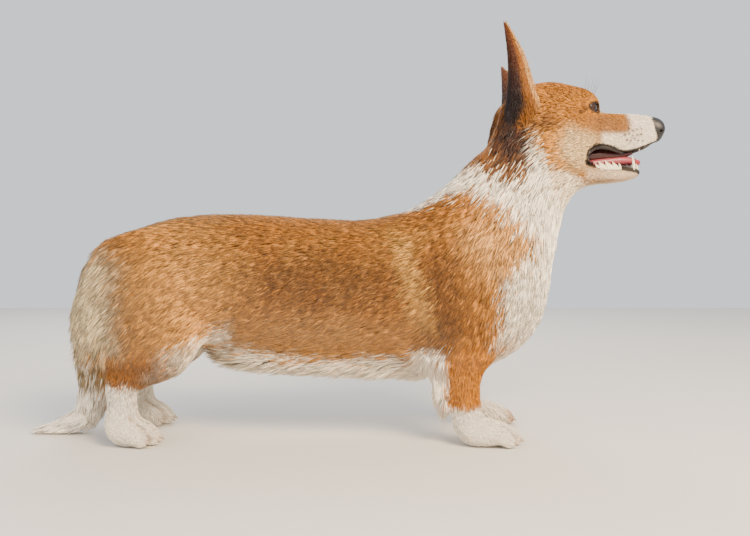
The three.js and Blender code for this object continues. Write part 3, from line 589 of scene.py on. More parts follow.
    # Head
    head = ramp((x - 214) * 0.9 + (z - 328) * 0.43, -6, 4)
    lay("#d1924f", head)
    lay("#bf8144", head * ramp(z, 388, 404))
    lay("#a8702f", 0.4 * head * spot(x, z, (214, 380), (24, 26), 0.6))
    lay("#f2ab5c", head * spot(x, z, (221, 322), (22, 42), 0.5))
    lay("#ffe2b4", head * spot(x + rough * 0.4, z, (256, 333), (27, 26), 0.4))
    lay("#fff1d8", head * ramp(z + 0.3 * (x - 250), 306, 298))
    lay("#d0904e", 0.9 * head * spot(x, z, (262, 366), (20, 16), 0.6))
    lay("#f9e2b8", head * ramp(x, 276, 280) * ramp(x, 292, 284) * ramp(across, 22, 17) * ramp(z, 362, 370))
    lay("#542f12", 0.8 * head * spot(x, z, (216, 359), (14, 9), 0.7) * ramp(across, 24, 34))
    lay("#fff4e0", head * ramp(x + 0.25 * rough, 278, 290) * ramp(z, 357, 349))
    lay("#fff4e4", head * ramp(x, 314, 324))
    lay("#fff4e4", head * ramp(x, 268, 276) * ramp(across, 4.5, 2.5) * ramp(z, 360, 366))
    lay("#c08d60", 0.88 * head * spot(x + 0.4 * rough, z, (294, 362), (25, 10.5), 0.45) * ramp(across, 6, 9))
    lay("#f6dec2", 0.9 * head * ramp(x, 262, 272) * ramp(z, 314, 309))
    lay("#d59f69", 0.45 * head * spot(x, z, (290, 296), (28, 3.2), 0.5) * ramp(across, 6, 10))
    wedge = np.abs(x - 200 - 0.12 * (z - 312) + 0.5 * rough)
    lay("#fff7e6", ramp(wedge, 7, 3) * ramp(np.abs(z - 310), 34, 24) * ramp(across, 20, 34))
    # Dark dots at the whiskers' roots, rims of eyes and lips, spot on the cheek
    for place in whisker_rows + [(250.5, 317)]:
        off = np.hypot(x - place[0], z - place[1])
        lay("#4a3428", 0.75 * head * ramp(off, 1.9, 0.9) * ramp(across, 4, 8))
    eye = mass(eye_place + eye_out * 9.5, [15, 12, 7.2], 0, eye_turn)(mirrored(points))
    lay("#2a1710", 0.92 * ramp(eye, 1.2, -0.2))
    along, above = (x - 260) * 0.87 + (z - 374) * 0.5, (z - 374) * 0.87 - (x - 260) * 0.5
    streak = spot(along, above, (0, 0), (10, 1.9), 0.6)
    lay("#2f1b12", 0.8 * head * streak * ramp(across, 22, 26))
    near_mouth = (x > 255) & (z > 285) & (z < 350) & (across < 45)
    gap = np.full(len(points), 30.0)
    gap[near_mouth] = mouth_gap(points[near_mouth])
    lay("#171110", 0.97 * np.where(z < 319, ramp(gap, 7.6, 6.0), ramp(gap, 4.4, 3.2)))
    lay("#5a2426", ramp(gap, 0.2, -0.8) * 0.95)
    # Ears: behind, painted dark as shade at the root and lighter towards the tip where lit, with painted
    # light along the sides; a cream rim, partly pale hair and partly painted highlight; paler hair inside
    on_ear = ear >= 0
    # Painted shade at the ear's root behind, lighter towards the tip where it is lit
    lit_towards_tip = ramp(ear + 0.2 * edge, 0.25, 1.05)[:, None]
    base = linear("#221006") * (1 - lit_towards_tip) + linear("#6a3b1b") * lit_towards_tip
    # Painted light along the ear's sides, then a cream rim that is partly pale hair and partly painted
    # highlight
    lit_and_pale_share = (0.7 * ramp(edge, 0.66, 0.86))[:, None]
    base = base * (1 - lit_and_pale_share) + linear("#b97a40") * lit_and_pale_share
    lit_and_pale_share = np.maximum(0.85 * ramp(edge, 0.92, 0.98) * ramp(ear, 0.05, 0.2), 0.5 * inner)[:, None]
    base = base * (1 - lit_and_pale_share) + linear("#eebf86") * lit_and_pale_share
    colour[on_ear] = base[on_ear]
    grey = colour.mean(1, keepdims=True)
    colour = np.maximum(grey + (colour - grey) * 1.22, 0.004)
    colour *= 1 - 0.27 * ramp((colour[:, 0] - colour[:, 2]) / colour[:, 0], 0.25, 0.65)[:, None]
    return colour


# Both ears stand up as open cones with rounded tips, joined to the hide at their roots.
# Their openings face forward and a little outward.
ear_rows = np.array([
    [-0.16, 16, 4], [0, 30, 12], [0.13, 40, 21], [0.28, 31, 25.5], [0.47, 24, 23], [0.62, 20, 18.5],
    [0.76, 14.5, 13.5], [0.88, 9.5, 8.5], [0.96, 5.5, 4.5], [1, 3.6, 2],
])
ear_shapes = [([170, -38, 362], [166, -60, 470], -0.25, 5), ([176, 40, 362], [184, 76, 449], 0.25, 4)]
ear_arc, ear_thick, ear_inset = math.radians(96), 2.0, 1.6
ear_points, ear_faces, ear_shares, ear_inner, ear_edges = [], [], [], [], []
for root, tip, outwards, bow in ear_shapes:
    base, rise = np.array(root, float), np.array(tip, float) - root
    axis = unit(rise)
    front = np.array([1, outwards, 0])
    front = unit(front - axis * (front @ axis))
    side_way = np.cross(axis, front)
    shares = np.linspace(-0.16, 1, 46)[:, None, None]
    depth = np.interp(shares, ear_rows[:, 0], ear_rows[:, 1]) - ear_inset * 0.7
    half = np.interp(shares, ear_rows[:, 0], ear_rows[:, 2]) - ear_inset
    turn = (np.linspace(-1, 1, 33) * ear_arc)[None, :, None]
    thick = np.array([0, ear_thick])[None, None, :] * np.ones_like(turn)
    half, depth = np.maximum(half, 0.8), np.maximum(depth, 1)
    width = np.maximum(half - thick * 0.7, half * 0.4)
    deep = np.maximum(depth - thick, depth * 0.5)
    along = deep * (1 - np.cos(turn)) / (1 - math.cos(ear_arc)) + np.minimum(thick, depth * 0.5) + ear_inset
    along = along + bow * np.sin(math.pi * np.maximum(shares, 0))
    grid = base + rise * (shares * 0.985)[..., None] + side_way * (width * np.sin(turn))[..., None]
    grid = grid + front * along[..., None]
    rows, columns = grid.shape[:2]
    start = sum(len(p) for p in ear_points) + len(skin_points)
    number = start + np.arange(rows * columns * 2).reshape(rows, columns, 2)
    quads = [
        np.stack([number[:-1, :-1, 0], number[:-1, 1:, 0], number[1:, 1:, 0], number[1:, :-1, 0]], -1),
        np.stack([number[:-1, :-1, 1], number[1:, :-1, 1], number[1:, 1:, 1], number[:-1, 1:, 1]], -1),
        np.stack([number[:-1, 0, 1], number[:-1, 0, 0], number[1:, 0, 0], number[1:, 0, 1]], -1),
        np.stack([number[:-1, -1, 0], number[:-1, -1, 1], number[1:, -1, 1], number[1:, -1, 0]], -1),
        np.stack([number[0, :-1, 0], number[0, :-1, 1], number[0, 1:, 1], number[0, 1:, 0]], -1),
        np.stack([number[-1, :-1, 0], number[-1, 1:, 0], number[-1, 1:, 1], number[-1, :-1, 1]], -1),
    ]
    quads = np.concatenate([q.reshape(-1, 4) for q in quads])
    # The faces are turned outward where the shell would have a negative volume
    corners = grid.reshape(-1, 3)[quads - start]
    volume = np.einsum("ij,ij->i", corners[:, 0], np.cross(corners[:, 1], corners[:, 2])).sum()
    volume += np.einsum("ij,ij->i", corners[:, 0], np.cross(corners[:, 2], corners[:, 3])).sum()
    ear_faces.append(quads if volume > 0 else quads[:, ::-1])
    ear_points.append(grid.reshape(-1, 3))
    ear_shares.append(np.broadcast_to(np.maximum(shares, 0), (rows, columns, 2)).ravel())
    ear_inner.append(np.broadcast_to(np.array([0, 1]), (rows, columns, 2)).ravel())
    ear_edges.append(np.broadcast_to(np.abs(turn / ear_arc), (rows, columns, 2)).ravel())
hide_points = np.concatenate([skin_points] + ear_points)
hide_faces = np.concatenate([skin_faces] + ear_faces)
hide_ear = np.concatenate([np.full(len(skin_points), -1.0)] + ear_shares)
hide_inner = np.concatenate([np.zeros(len(skin_points))] + ear_inner)
hide_edge = np.concatenate([np.zeros(len(skin_points))] + ear_edges)


def hold(thing):
    """Selects one object alone, ready to be worked on."""
    bpy.ops.object.select_all(action="DESELECT")
    thing.select_set(True)
    bpy.context.view_layer.objects.active = thing


def hide_look(tree, shader):
    painted = node(tree, "ShaderNodeAttribute", attribute_name="coat colour")
    # The hide is painted darker than the coat, as shade deep among the tufts
    dark = node(tree, "ShaderNodeHueSaturation", [(painted, "Color", "Color")], Value=0.8)
    tree.links.new(dark.outputs["Color"], shader.inputs["Base Color"])
    relief(tree, shader, "ShaderNodeTexNoise", "Fac", 0.35, 0.0006, Scale=900.0, Detail=3.0)
    give(shader, Roughness=0.75, Specular_IOR_Level=0.25)


# Hide under fur: matt, painted darker than the coat as shade deep in the fur, with a fine grain
hide_material = finish_of("short underfur over hide", hide_look)
skin = mesh_object("skin", hide_points, hide_faces, hide_material)
paint(skin, coat_colour(hide_points, hide_ear, hide_edge, hide_inner))
hold(skin)
bpy.ops.object.mode_set(mode="EDIT")
bpy.ops.mesh.select_all(action="SELECT")
bpy.ops.uv.smart_project(angle_limit=math.radians(66), island_margin=0.002)
bpy.ops.object.mode_set(mode="OBJECT")
skin.select_set(False)
skin.data.uv_layers[0].name = "OFBake"
hide_uv = np.empty(len(hide_faces) * 8, np.float32)
skin.data.uv_layers["OFBake"].data.foreach_get("uv", hide_uv)
hide_uv = hide_uv.reshape(-1, 4, 2)
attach(skin, "root")
sides = ("right", "left")
flesh = ["head", "lower_jaw", "neck", "chest", "abdomen", "rump", "tail_upper", "tail_tip"]
for part_name in ("ear", "shoulder", "thigh", "front_leg", "front_paw", "hind_leg", "hind_paw"):
    flesh += [f"{part_name}_{side}" for side in sides]
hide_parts(*flesh)

# The coat: about 220,000 tufts that grow from the hide along the lie of the fur.
# They are short and fine on face and feet, and long on the collar, bib, belly, breeches and tail.
rng = np.random.default_rng(11)


def tail_share(points):
    """1 on the tail and 0 elsewhere."""
    x, y, z = points.T
    return ramp(x, -288, -297) * ramp(np.abs(y), 30, 22) * ramp(z, 222, 200)


def lie_of_coat(points, normals, ear):
    """The way the fur lies: back from the nose, down the neck and sides, down the legs,
    and to the tips of ears and tail."""
    x, y, z = points.T
    side = np.sign(y)
    ones = np.ones(len(points))
    way = np.stack([-ones, 0.05 * side, -0.55 * ramp(np.abs(y), 14, 74)], 1)

    def turn(direction, amount):
        d = np.stack([np.broadcast_to(v, len(points)) for v in direction], 1)
        amount = np.clip(amount, 0, 1)[:, None]
        way[:] = unit(way * (1 - amount) + d * amount)

    turn((-0.75, 0, -0.8), ramp(x, -160, -235))
    turn((-0.55, 0, -0.85), ramp(x, 60, 120) * ramp(z, 265, 200))
    turn((-0.5, 0.1 * side, -0.85), ramp(x, 100, 150) * ramp(z, 190, 260))
    turn((-0.15, 0.1 * side, -1), ramp(normals[:, 0], 0.2, 0.7) * ramp(x, 110, 150))
    turn((-0.9, 0, -0.3), ramp(normals[:, 2], -0.3, -0.8) * ramp(z, 130, 100) * ramp(x, 120, 90))
    leg = ramp(z, 124, 96) * ramp(np.abs(y), 28, 42) * np.maximum(ramp(x, 66, 84), ramp(x, -196, -214))
    turn((-0.22, 0.1 * side, -1), leg)
    turn((1, 0, -0.45), leg * ramp(z, 34, 22))
    head = head_share(points)
    turn((-0.95, 0.2 * side, -0.25), head)
    turn((-0.85, 0.12 * side, 0.5), head * ramp(z, 372, 392) * ramp(x, 205, 225))
    turn((-0.95, 0.12 * side, 0.12), head * ramp(x, 270, 290) * ramp(z, 335, 350))
    turn((-0.8, 0.2 * side, -0.75), head * ramp(x, 238, 205) * ramp(z, 370, 340))
    turn((-0.3, 0, -0.95), head * ramp(x, 200, 186))
    tail_part = tail_share(points)
    turn((-0.12, 0, -1), tail_part)
    turn((-0.93, 0, -0.35), tail_part * ramp(z, 44, 22))
    turn((-0.1, 0.3 * side, 1), ramp(ear, -0.5, 0))
    return unit(way - normals * np.einsum("ij,ij->i", way, normals)[:, None])


def hair_length(points, ear):
    """The length of the fur in mm."""
    x, y, z = points.T
    across = np.abs(y)
    head = head_share(points)
    length = np.interp(x, [-280, -240, -150, 40, 110, 160], [26, 25, 21, 19, 21, 25])
    ruff = spot(x, z, (160, 255), (62, 60), 0.5)
    length = length + 3 * ruff + 5 * ramp(x, 140, 175) * ramp(across, 60, 20)
    length = length + 11 * ramp(x, -248, -278) * ramp(z, 90, 120) * ramp(z, 222, 190)
    length = length + 8 * ramp(z, 108, 90) * (across < 80) * ramp(x, -186, -166)
    leg = ramp(z, 118, 88) * ramp(across, 28, 40) * np.maximum(ramp(x, 66, 84), ramp(x, -196, -214))
    length = length * (1 - leg) + 10 * leg
    length = length + 9 * leg * ramp(x, 112, 102) * ramp(x, 60, 80) * ramp(z, 34, 48)
    length = length * (1 - 0.45 * leg * ramp(z, 50, 26))
    tail_part = tail_share(points)
    length = length * (1 - tail_part) + 30 * tail_part
    face = np.interp(x, [190, 215, 245, 275, 300, 345], [24, 19, 11, 6, 4.2, 2.6])
    length = length * (1 - head) + face * head
    return np.where(ear >= 0, np.interp(ear, [0, 0.15, 0.4, 1], [11, 8, 6, 3.8]), length)


# Where tufts can grow: not on eyes, lips, mouth, nose or soles
corner = hide_points[hide_faces]
middle = corner.mean(1)
face_normal = np.cross(corner[:, 2] - corner[:, 0], corner[:, 3] - corner[:, 1])
area = np.linalg.norm(face_normal, axis=1) * 0.5
bare = mass(eye_place + eye_out * 9.5, [15, 11.6, 7], 0, eye_turn)(mirrored(middle)) < 0.4
bare |= mass([352, 0, 360], [15, 12.8, 11.5])(middle) < 0
near_mouth = (middle[:, 0] > 255) & (middle[:, 2] > 285) & (middle[:, 2] < 350)
bare[near_mouth] |= mouth_gap(middle[near_mouth]) < np.where(middle[near_mouth, 2] < 319, 5.6, 3.0)
bare[near_mouth] |= mouth_inside(middle[near_mouth]) < 1
bare |= middle[:, 2] < 2.5
middle_ear = hide_ear[hide_faces].mean(1)
middle_inner = hide_inner[hide_faces].mean(1)
middle_edge = hide_edge[hide_faces].mean(1)
length_there = hair_length(middle, middle_ear)
per_area = np.interp(length_there, [2.6, 5, 10, 20, 34], [2.0, 1.25, 0.62, 0.62, 0.45])
per_area = per_area * np.where(middle_ear >= 0, np.where(middle_inner > 0.6, 0.35, 0.8), 1)
weight = area * per_area * ~bare
tuft_count = 222000
chosen = np.searchsorted(np.cumsum(weight) / weight.sum(), rng.random(tuft_count))
s, t = rng.random((2, tuft_count, 1))
shares = np.stack([(1 - s) * (1 - t), s * (1 - t), s * t, (1 - s) * t], 1)
root = (hide_points[hide_faces[chosen]] * shares).sum(1)
root_uv = (hide_uv[chosen] * shares).sum(1)
root_ear, root_inner, root_edge = middle_ear[chosen], middle_inner[chosen], middle_edge[chosen]
longer = (root_inner > 0.6) | (root_edge > 0.93)
hide_normal = np.zeros_like(hide_points)
for k in range(4):
    np.add.at(hide_normal, hide_faces[:, k], unit(face_normal) * area[:, None])
hide_normal = unit(hide_normal)
up = unit((hide_normal[hide_faces[chosen]] * shares).sum(1))

length = hair_length(root, root_ear) * rng.uniform(0.7, 1.25, tuft_count) * np.where(longer, 1.2, 1)
way = lie_of_coat(root, up, root_ear)
across_way = unit(np.cross(up, way))
swing = rng.normal(0, 0.16, tuft_count)[:, None] + 0.12 * wobble(root, 34, 8)[:, None]
way = unit(way + across_way * swing)
across_way = unit(np.cross(up, way))
x, y, z = root.T
# Tips lie just within the flesh solids' outline, or hang free in the fringes
free = np.maximum.reduce([
    ramp(z, 98, 88) * ramp(x, 112, 96) * ramp(x, -186, -166) * ramp(np.abs(y), 84, 74),
    ramp(x, -252, -276) * ramp(z, 92, 116) * ramp(z, 212, 186) * 0.75,
    ramp(x, 110, 102) * ramp(x, 60, 76) * ramp(z, 40, 50) * ramp(z, 118, 104) * ramp(np.abs(y), 30, 42),
    ramp(x, 140, 178) * ramp(z, 150, 185) * ramp(z, 290, 262) * 0.35 * ramp(np.abs(y), 70, 40),
])
free = np.maximum(free, 0.4 * tail_share(root))
free = np.where(root_ear >= 0, 1, free)
depth = coat_depth(root)
tip = root + way * length[:, None] + up * (length * np.where(root_ear >= 0, 0.05, 0.12))[:, None]
tip = tip + np.array([-0.15, 0, -1.0]) * (free * length * 0.35 * (root_ear < 0))[:, None]
value = skin_field(tip)
wanted = -rng.uniform(0.0, 0.55, tuft_count) * np.clip(depth, 1, 6)
push = np.clip(wanted - value, -18, 12) * (1 - free)
out_there = np.where((value > 0)[:, None], unit(gradient(skin_field, tip)), unit(gradient(skin_field, root)))
tip = tip + out_there * push[:, None]

# Neighbouring tufts draw together into locks, most where the fur is long
seeds = rng.choice(tuft_count, tuft_count // 16, replace=False)
tree = KDTree(len(seeds))
for i, place in enumerate(root[seeds]):
    tree.insert(place, i)
tree.balance()
nearest = seeds[np.array([tree.find(place)[1] for place in root])]
lock_draw = np.interp(length, [4, 10, 20, 36], [0.0, 0.12, 0.34, 0.5])
lock_draw = lock_draw * (np.einsum("ij,ij->i", up, up[nearest]) > 0.6)
lock_draw = lock_draw * (np.linalg.norm(root - root[nearest], axis=1) < 14)
tip = tip + (tip[nearest] - tip) * lock_draw[:, None]
tip[:, 2] = np.maximum(tip[:, 2], 0.8)

# Colours: the marking under the middle of the tuft, lighter or darker from lock to lock, with dark sable tips
astray = rng.normal(0, 1, (tuft_count, 3)) * (0.28 * np.maximum(length - 3, 1))[:, None]
shown = root * 0.45 + tip * 0.55 + astray
base_colour = coat_colour(shown, root_ear, root_edge, root_inner)
lock_tone = (rng.normal(0, 0.08, tuft_count))[nearest] * np.interp(length, [4, 14], [0.3, 1])
base_colour = base_colour * np.clip(1 + lock_tone + rng.normal(0, 0.07, tuft_count), 0.6, 1.4)[:, None]
warm = np.clip((base_colour[:, 0] - base_colour[:, 2]) / np.maximum(base_colour[:, 0], 0.01), 0, 1)
sable = rng.random(tuft_count) < 0.24 * ramp(warm, 0.35, 0.75) * ramp(root[:, 2], 100, 150) * (root_ear < 0)
# Each tuft is painted darker at its root, as shade deep in the coat, and a little lighter at its tip, or dark
# where the tip is sable
shaded_root_colour = base_colour * 0.82
tip_colour = base_colour * np.where(sable, 0.45, 1.12)[:, None]


def show_paint(tree, shader):
    """The base colour is the one painted on the mesh."""
    painted = node(tree, "ShaderNodeAttribute", attribute_name="coat colour")
    tree.links.new(painted.outputs["Color"], shader.inputs["Base Color"])


def coat_look(tree, shader):
    show_paint(tree, shader)
    give(shader, Roughness=0.6, Specular_IOR_Level=0.3, Sheen_Weight=0.12, Sheen_Roughness=0.5)


# Dog's outer coat: each tuft in its own tone, with a soft sheen along the back
coat_material = finish_of("dense straight dog coat", coat_look)
twice_bent_length, patch_half, lowest = 31, 0.0015, 0.3


def grow(name, chosen, slot_name, *stands_for):
    """One piece of coat: a closed blade for each chosen tuft, bent once, or twice where it is long.
    Sizes are in mm. Each blade's patch on the unwrap lies at its root's place."""
    pick = np.nonzero(chosen)[0]
    all_points, all_faces, all_shades, all_uv, start_number = [], [], [], [], 0
    for long_ones in (False, True):
        these = pick[(length[pick] > twice_bent_length) == long_ones]
        r, e, u, a, size = root[these], tip[these], up[these], across_way[these], length[these]
        wide = np.interp(size, [3, 8, 20, 40], [0.5, 0.75, 1.05, 1.5]) * rng.uniform(0.75, 1.25, len(these))
        rise = np.interp(size, [3, 10, 30], [0.2, 0.7, 2.2])
        corners = [r - u * 0.9]
        for share, width_share in ((0.3, 1.0), (0.68, 0.78)) if long_ones else ((0.42, 1.0),):
            line = r + (e - r) * share + u * (rise * 4 * share * (1 - share))[:, None]
            flank = a * (wide * width_share / 2)[:, None]
            corners += [line - flank, line + u * (wide * width_share * 0.34)[:, None], line + flank]
        corners = np.stack(corners + [e], 1)
        if long_ones:
            template = [
                [0, 2, 1], [0, 3, 2], [0, 1, 3], [1, 2, 5], [1, 5, 4], [2, 3, 6], [2, 6, 5], [3, 1, 4],
                [3, 4, 6], [7, 4, 5], [7, 5, 6], [7, 6, 4],
            ]
            blend = [0, 0.35, 0.35, 0.35, 0.75, 0.75, 0.75, 1]
            patch = [[0, -1], [-1, -0.3], [0, -0.3], [1, -0.3], [-1, 0.3], [0, 0.3], [1, 0.3], [0, 1]]
        else:
            template = [[0, 2, 1], [0, 3, 2], [0, 1, 3], [4, 1, 2], [4, 2, 3], [4, 3, 1]]
            blend = [0, 0.5, 0.5, 0.5, 1]
            patch = [[0, -1], [-1, 0], [0, 0], [1, 0], [0, 1]]
        per, blend = corners.shape[1], np.array(blend)[None, :, None]
        first = start_number + np.arange(len(these)) * per
        all_faces.append((np.array(template)[None] + first[:, None, None]).reshape(-1, 3))
        all_points.append(corners.reshape(-1, 3))
        shades = shaded_root_colour[these][:, None] * (1 - blend) + tip_colour[these][:, None] * blend
        all_shades.append(shades.reshape(-1, 3))
        all_uv.append((root_uv[these][:, None] + np.array(patch)[None] * patch_half).reshape(-1, 2))
        start_number += len(these) * per
    faces, points = np.concatenate(all_faces), np.concatenate(all_points)
    points[:, 2] = np.maximum(points[:, 2], lowest)
    piece = mesh_object(name, points, faces, coat_material)
    paint(piece, np.concatenate(all_shades))
    layer = piece.data.uv_layers.new(name="OFBake")
    layer.data.foreach_set("uv", np.concatenate(all_uv)[faces.ravel()].astype(np.float32).ravel())
    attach(piece, "root")
    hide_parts(*stands_for)


head_part = (head_share(root) > 0.5) & (root_ear < 0)
ear_part = root_ear >= 0
leg_part = (z < 112) & (np.abs(y) > 30) & (((x > 70) & (x < 210)) | (x < -196))
leg_part |= z < 60
tail_piece = (x < -286) & (np.abs(y) < 26) & (z < 215)
leg_part &= ~tail_piece
neck_part = (x * 0.62 + z * 0.78 > 283) & ~head_part & ~ear_part
rest = ~(head_part | ear_part | leg_part | tail_piece | neck_part)
grow("head_coat", head_part, "tan_fur", "head", "lower_jaw")
grow("ear_coat", ear_part, "ear_fur", "ear_right", "ear_left")
for place, there in (("front", leg_part & (x > 0)), ("hind", leg_part & (x <= 0))):
    nodes_there = [f"{place}_{part_name}_{side}" for part_name in ("leg", "paw") for side in sides]
    grow(f"{place}_leg_coat", there, "tan_fur" if place == "front" else "pale_fur", *nodes_there)
grow("tail_coat", tail_piece, "tail_fur", "tail_upper", "tail_tip")
for side, one_side in (("right", y < 0), ("left", y >= 0)):
    grow(f"neck_coat_{side}", neck_part & one_side, "white_fur", "neck")
    for place, low, high, fur, solid in (
        ("shoulder", 95, 400, "tan_fur", "chest"), ("chest", 20, 95, "cream_fur", "chest"),
        ("flank", -75, 20, "tan_fur", "abdomen"), ("loin", -160, -75, "tan_fur", "abdomen"),
        ("rump", -225, -160, "rump_fur", "rump"), ("breeches", -400, -225, "rump_fur", "rump"),
    ):
        there = rest & one_side & (x >= low) & (x < high)
        grow(f"{place}_coat_{side}", there, fur, solid)

# The eyes: dark brown and set deep under the brow, turned outwards, with a wet surface.
# Each is a ball with a slightly raised cornea. A black rim holds it, made further down.


def angle_off(thing, centre, axis):
    """For each corner of a mesh, the angle in degrees at a centre in mm between it and an axis."""
    found = np.empty(len(thing.data.vertices) * 3)
    thing.data.vertices.foreach_get("co", found)
    return np.degrees(np.arccos(np.clip(unit(found.reshape(-1, 3) * 1000 - centre) @ axis, -1, 1)))


def eye_look(tree, shader):
    show_paint(tree, shader)
    give(shader, Roughness=0.25, Specular_IOR_Level=0.25, Coat_Weight=0.6, Coat_Roughness=0.02, Coat_IOR=1.38)


# Wet cornea over a dark brown iris: a sharp small highlight
eye_material = finish_of("wet brown eye", eye_look)
ball_radius, pupil_angle, iris_angle, eye_black = 10.2, 16.5, 44, 0.001
for side, sign in zip(sides, (-1, 1)):
    outward, centre = eye_out * [1, sign, 1], eye_place * [1, sign, 1]
    bpy.ops.object.select_all(action="DESELECT")
    bpy.ops.mesh.primitive_uv_sphere_add(
        segments=48, ring_count=40, radius=ball_radius * mm, location=centre * mm,
        rotation=Vector(outward).to_track_quat("Z", "Y").to_euler(),
    )
    eye = bpy.context.object
    eye.name = f"eye_ball_{side}"
    bpy.ops.object.transform_apply()
    bpy.ops.object.shade_smooth()
    # The cornea is raised in four steps, each over a smaller cap
    for cap_angle, lift in ((40, 0.0002), (34, 0.00025), (27, 0.00025), (19, 0.00015)):
        off_axis = angle_off(eye, centre, outward)
        eye.data.vertices.foreach_set("select", off_axis < cap_angle)
        bpy.ops.object.mode_set(mode="EDIT")
        bpy.ops.transform.translate(value=outward * lift)
        bpy.ops.object.mode_set(mode="OBJECT")
    off_axis = angle_off(eye, centre, outward)
    iris = 1 - ramp(off_axis, iris_angle - 4, iris_angle + 3)
    shade = np.outer(iris * (1 - 0.75 * ramp(off_axis, 30, 45)), linear("#331a0a"))
    shade = shade + np.outer(ramp(off_axis, 46, 52), linear("#3d2c24"))
    paint(eye, shade * ramp(off_axis, pupil_angle - 1.5, pupil_angle + 2)[:, None] + eye_black)
    eye.data.materials.append(eye_material)
    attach(eye, "root")
    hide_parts(f"eye_{side}")


def tube(path, radii, sides_round=8, flat=1.0, up_way=(0, 0, 1)):
    """A closed tube through the points of a path, with a radius for each: (corners, triangles)."""
    path, radii = np.array(path, float), np.array(radii, float)
    ahead = unit(np.gradient(path, axis=0))
    across_tube = unit(np.cross(np.broadcast_to(up_way, path.shape), ahead) + 1e-6)
    upright = np.cross(ahead, across_tube)
    turn = np.arange(sides_round) * 2 * math.pi / sides_round
    turn = turn[None, :, None]
    round_about = np.cos(turn) * across_tube[:, None] + flat * np.sin(turn) * upright[:, None]
    rings = path[:, None] + radii[:, None, None] * round_about
    number = np.arange(len(path) * sides_round).reshape(len(path), sides_round)
    after = np.roll(number, -1, 1)
    a, b, c, d = (v.ravel() for v in (number[:-1], after[:-1], after[1:], number[1:]))
    first, last = len(path) * sides_round, len(path) * sides_round + 1
    triangles = np.concatenate([
        np.stack([a, b, c], 1), np.stack([a, c, d], 1),
        np.stack([np.full(sides_round, first), after[0], number[0]], 1),
        np.stack([np.full(sides_round, last), number[-1], after[-1]], 1),
    ])
    return np.concatenate([rings.reshape(-1, 3), path[:1], path[-1:]]), triangles


def gathered(name, made, material):
    """One object from several closed parts."""
    start, points, faces = 0, [], []
    for p, f in made:
        points.append(p)
        faces.append(f + start)
        start += len(p)
    return mesh_object(name, np.concatenate(points), np.concatenate(faces), material)


def on_skin(points, out_way, outward_by=0.0):
    """Points moved along a direction onto the surface of the flesh."""
    points, out_way = np.array(points, float), np.array(out_way, float)
    low, high = np.full(len(points), -30.0), np.full(len(points), 30.0)
    for _ in range(22):
        mid = (low + high) / 2
        inside = closed_mouth_field(points + out_way * mid[:, None]) < 0
        low, high = np.where(inside, mid, low), np.where(inside, high, mid)
    return points + out_way * (low + outward_by)[:, None]


# Black rims round the eyes: a thin fold of bare skin along the edge of both lids,
# drawn out to a dark corner in front and behind.
rims = []
for sign in (-1, 1):
    outward = eye_out * [1, sign, 1]
    sideways = unit(np.cross([0, 0, 1], outward)) * sign
    turn = np.linspace(0, 2 * math.pi, 49)
    wide = 9.2 * np.sign(np.cos(turn)) * np.abs(np.cos(turn)) ** 0.9
    high = 5.1 * np.sin(turn) + 0.25 * wide * -0.35
    flat_ring = sideways * wide[:, None] + np.array([0, 0, 1]) * high[:, None]
    reach = np.sqrt(np.maximum(11.7**2 - (flat_ring**2).sum(1), 1))
    path = eye_place * [1, sign, 1] + flat_ring + outward * reach[:, None]
    rims.append(tube(path, np.full(49, 1.0) + 0.3 * np.abs(np.cos(turn)) ** 6, 8, 1.0, outward))


def rim_look(tree, shader):
    relief(tree, shader, "ShaderNodeTexNoise", "Fac", 0.3, 0.0003, Scale=1400.0, Detail=2.0)
    give(shader, Base_Color=(*linear("#1b1412"), 1), Roughness=0.38, Specular_IOR_Level=0.5)


# Bare black skin: a soft damp shine that sets the eye off from the fur
rim_material = finish_of("damp black skin", rim_look)
eye_rims = gathered("eye_rims", rims, rim_material)
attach(eye_rims, "root")

# The nose: a blunt leather pad with two comma-shaped nostrils and a groove down the middle.
nose_parts = [(mass([355, 0, 353], [9, 9, 10], -24), 6)]
nose_parts += [(mass([354, s * 7, 358], [10, 7, 8], 0, s * 20), 5) for s in (-1, 1)]
nose_pad = joined(mass([351, 0, 363], [15, 12.5, 10.5], -6), *nose_parts)


def nose_field(points):
    value = nose_pad(points)
    for s in (-1, 1):
        value = smooth_max(value, -mass([363.5, s * 6.8, 358.5], [6, 2.4, 3.6], 12, s * 36)(points), 2)
        value = smooth_max(value, -mass([358, s * 12, 355.5], [9, 2.2, 1.3], -6, s * 24)(points), 1.2)
    groove = mass([366.5, 0, 352], [4, 0.9, 9])(points)
    return smooth_max(value, -groove, 1.2)


nose_points, nose_faces = surface(
    nose_field, [lines(332, 0.8, 370), lines(-17, 0.8, 17), lines(340, 0.8, 378)]
)


def nose_look(tree, shader):
    relief(tree, shader, "ShaderNodeTexVoronoi", "Distance", 0.45, 0.0005, Scale=780.0)
    give(shader, Base_Color=(*linear("#131112"), 1), Roughness=0.45, Coat_Weight=0.15, Coat_Roughness=0.3)


# Cobbled nose leather, about 1.3 mm to a cell: damp, so it takes a broad grey sheen on top
nose = mesh_object("nose_pad", nose_points, nose_faces, finish_of("damp nose leather", nose_look))
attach(nose, "root")
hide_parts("nose")

# The tongue lies in the lower jaw, cupped along its middle, with a thin raised edge and a red tip.
tongue_body = sweep([
    [276, 0, 317, 7, 13], [294, 0, 319.5, 6.8, 12.5], [312, 0, 321.5, 6, 11], [325, 0, 321.5, 5, 8.8],
    [334, 0, 319.5, 3.6, 6.5],
])
tongue_groove = sweep([
    [280, 0, 327, 4.6, 4], [300, 0, 329, 4.8, 4.5], [318, 0, 328, 3.6, 3.6], [333, 0, 324, 2.6, 2.4],
])


def tongue_field(points):
    return smooth_max(tongue_body(points), -tongue_groove(points), 4)


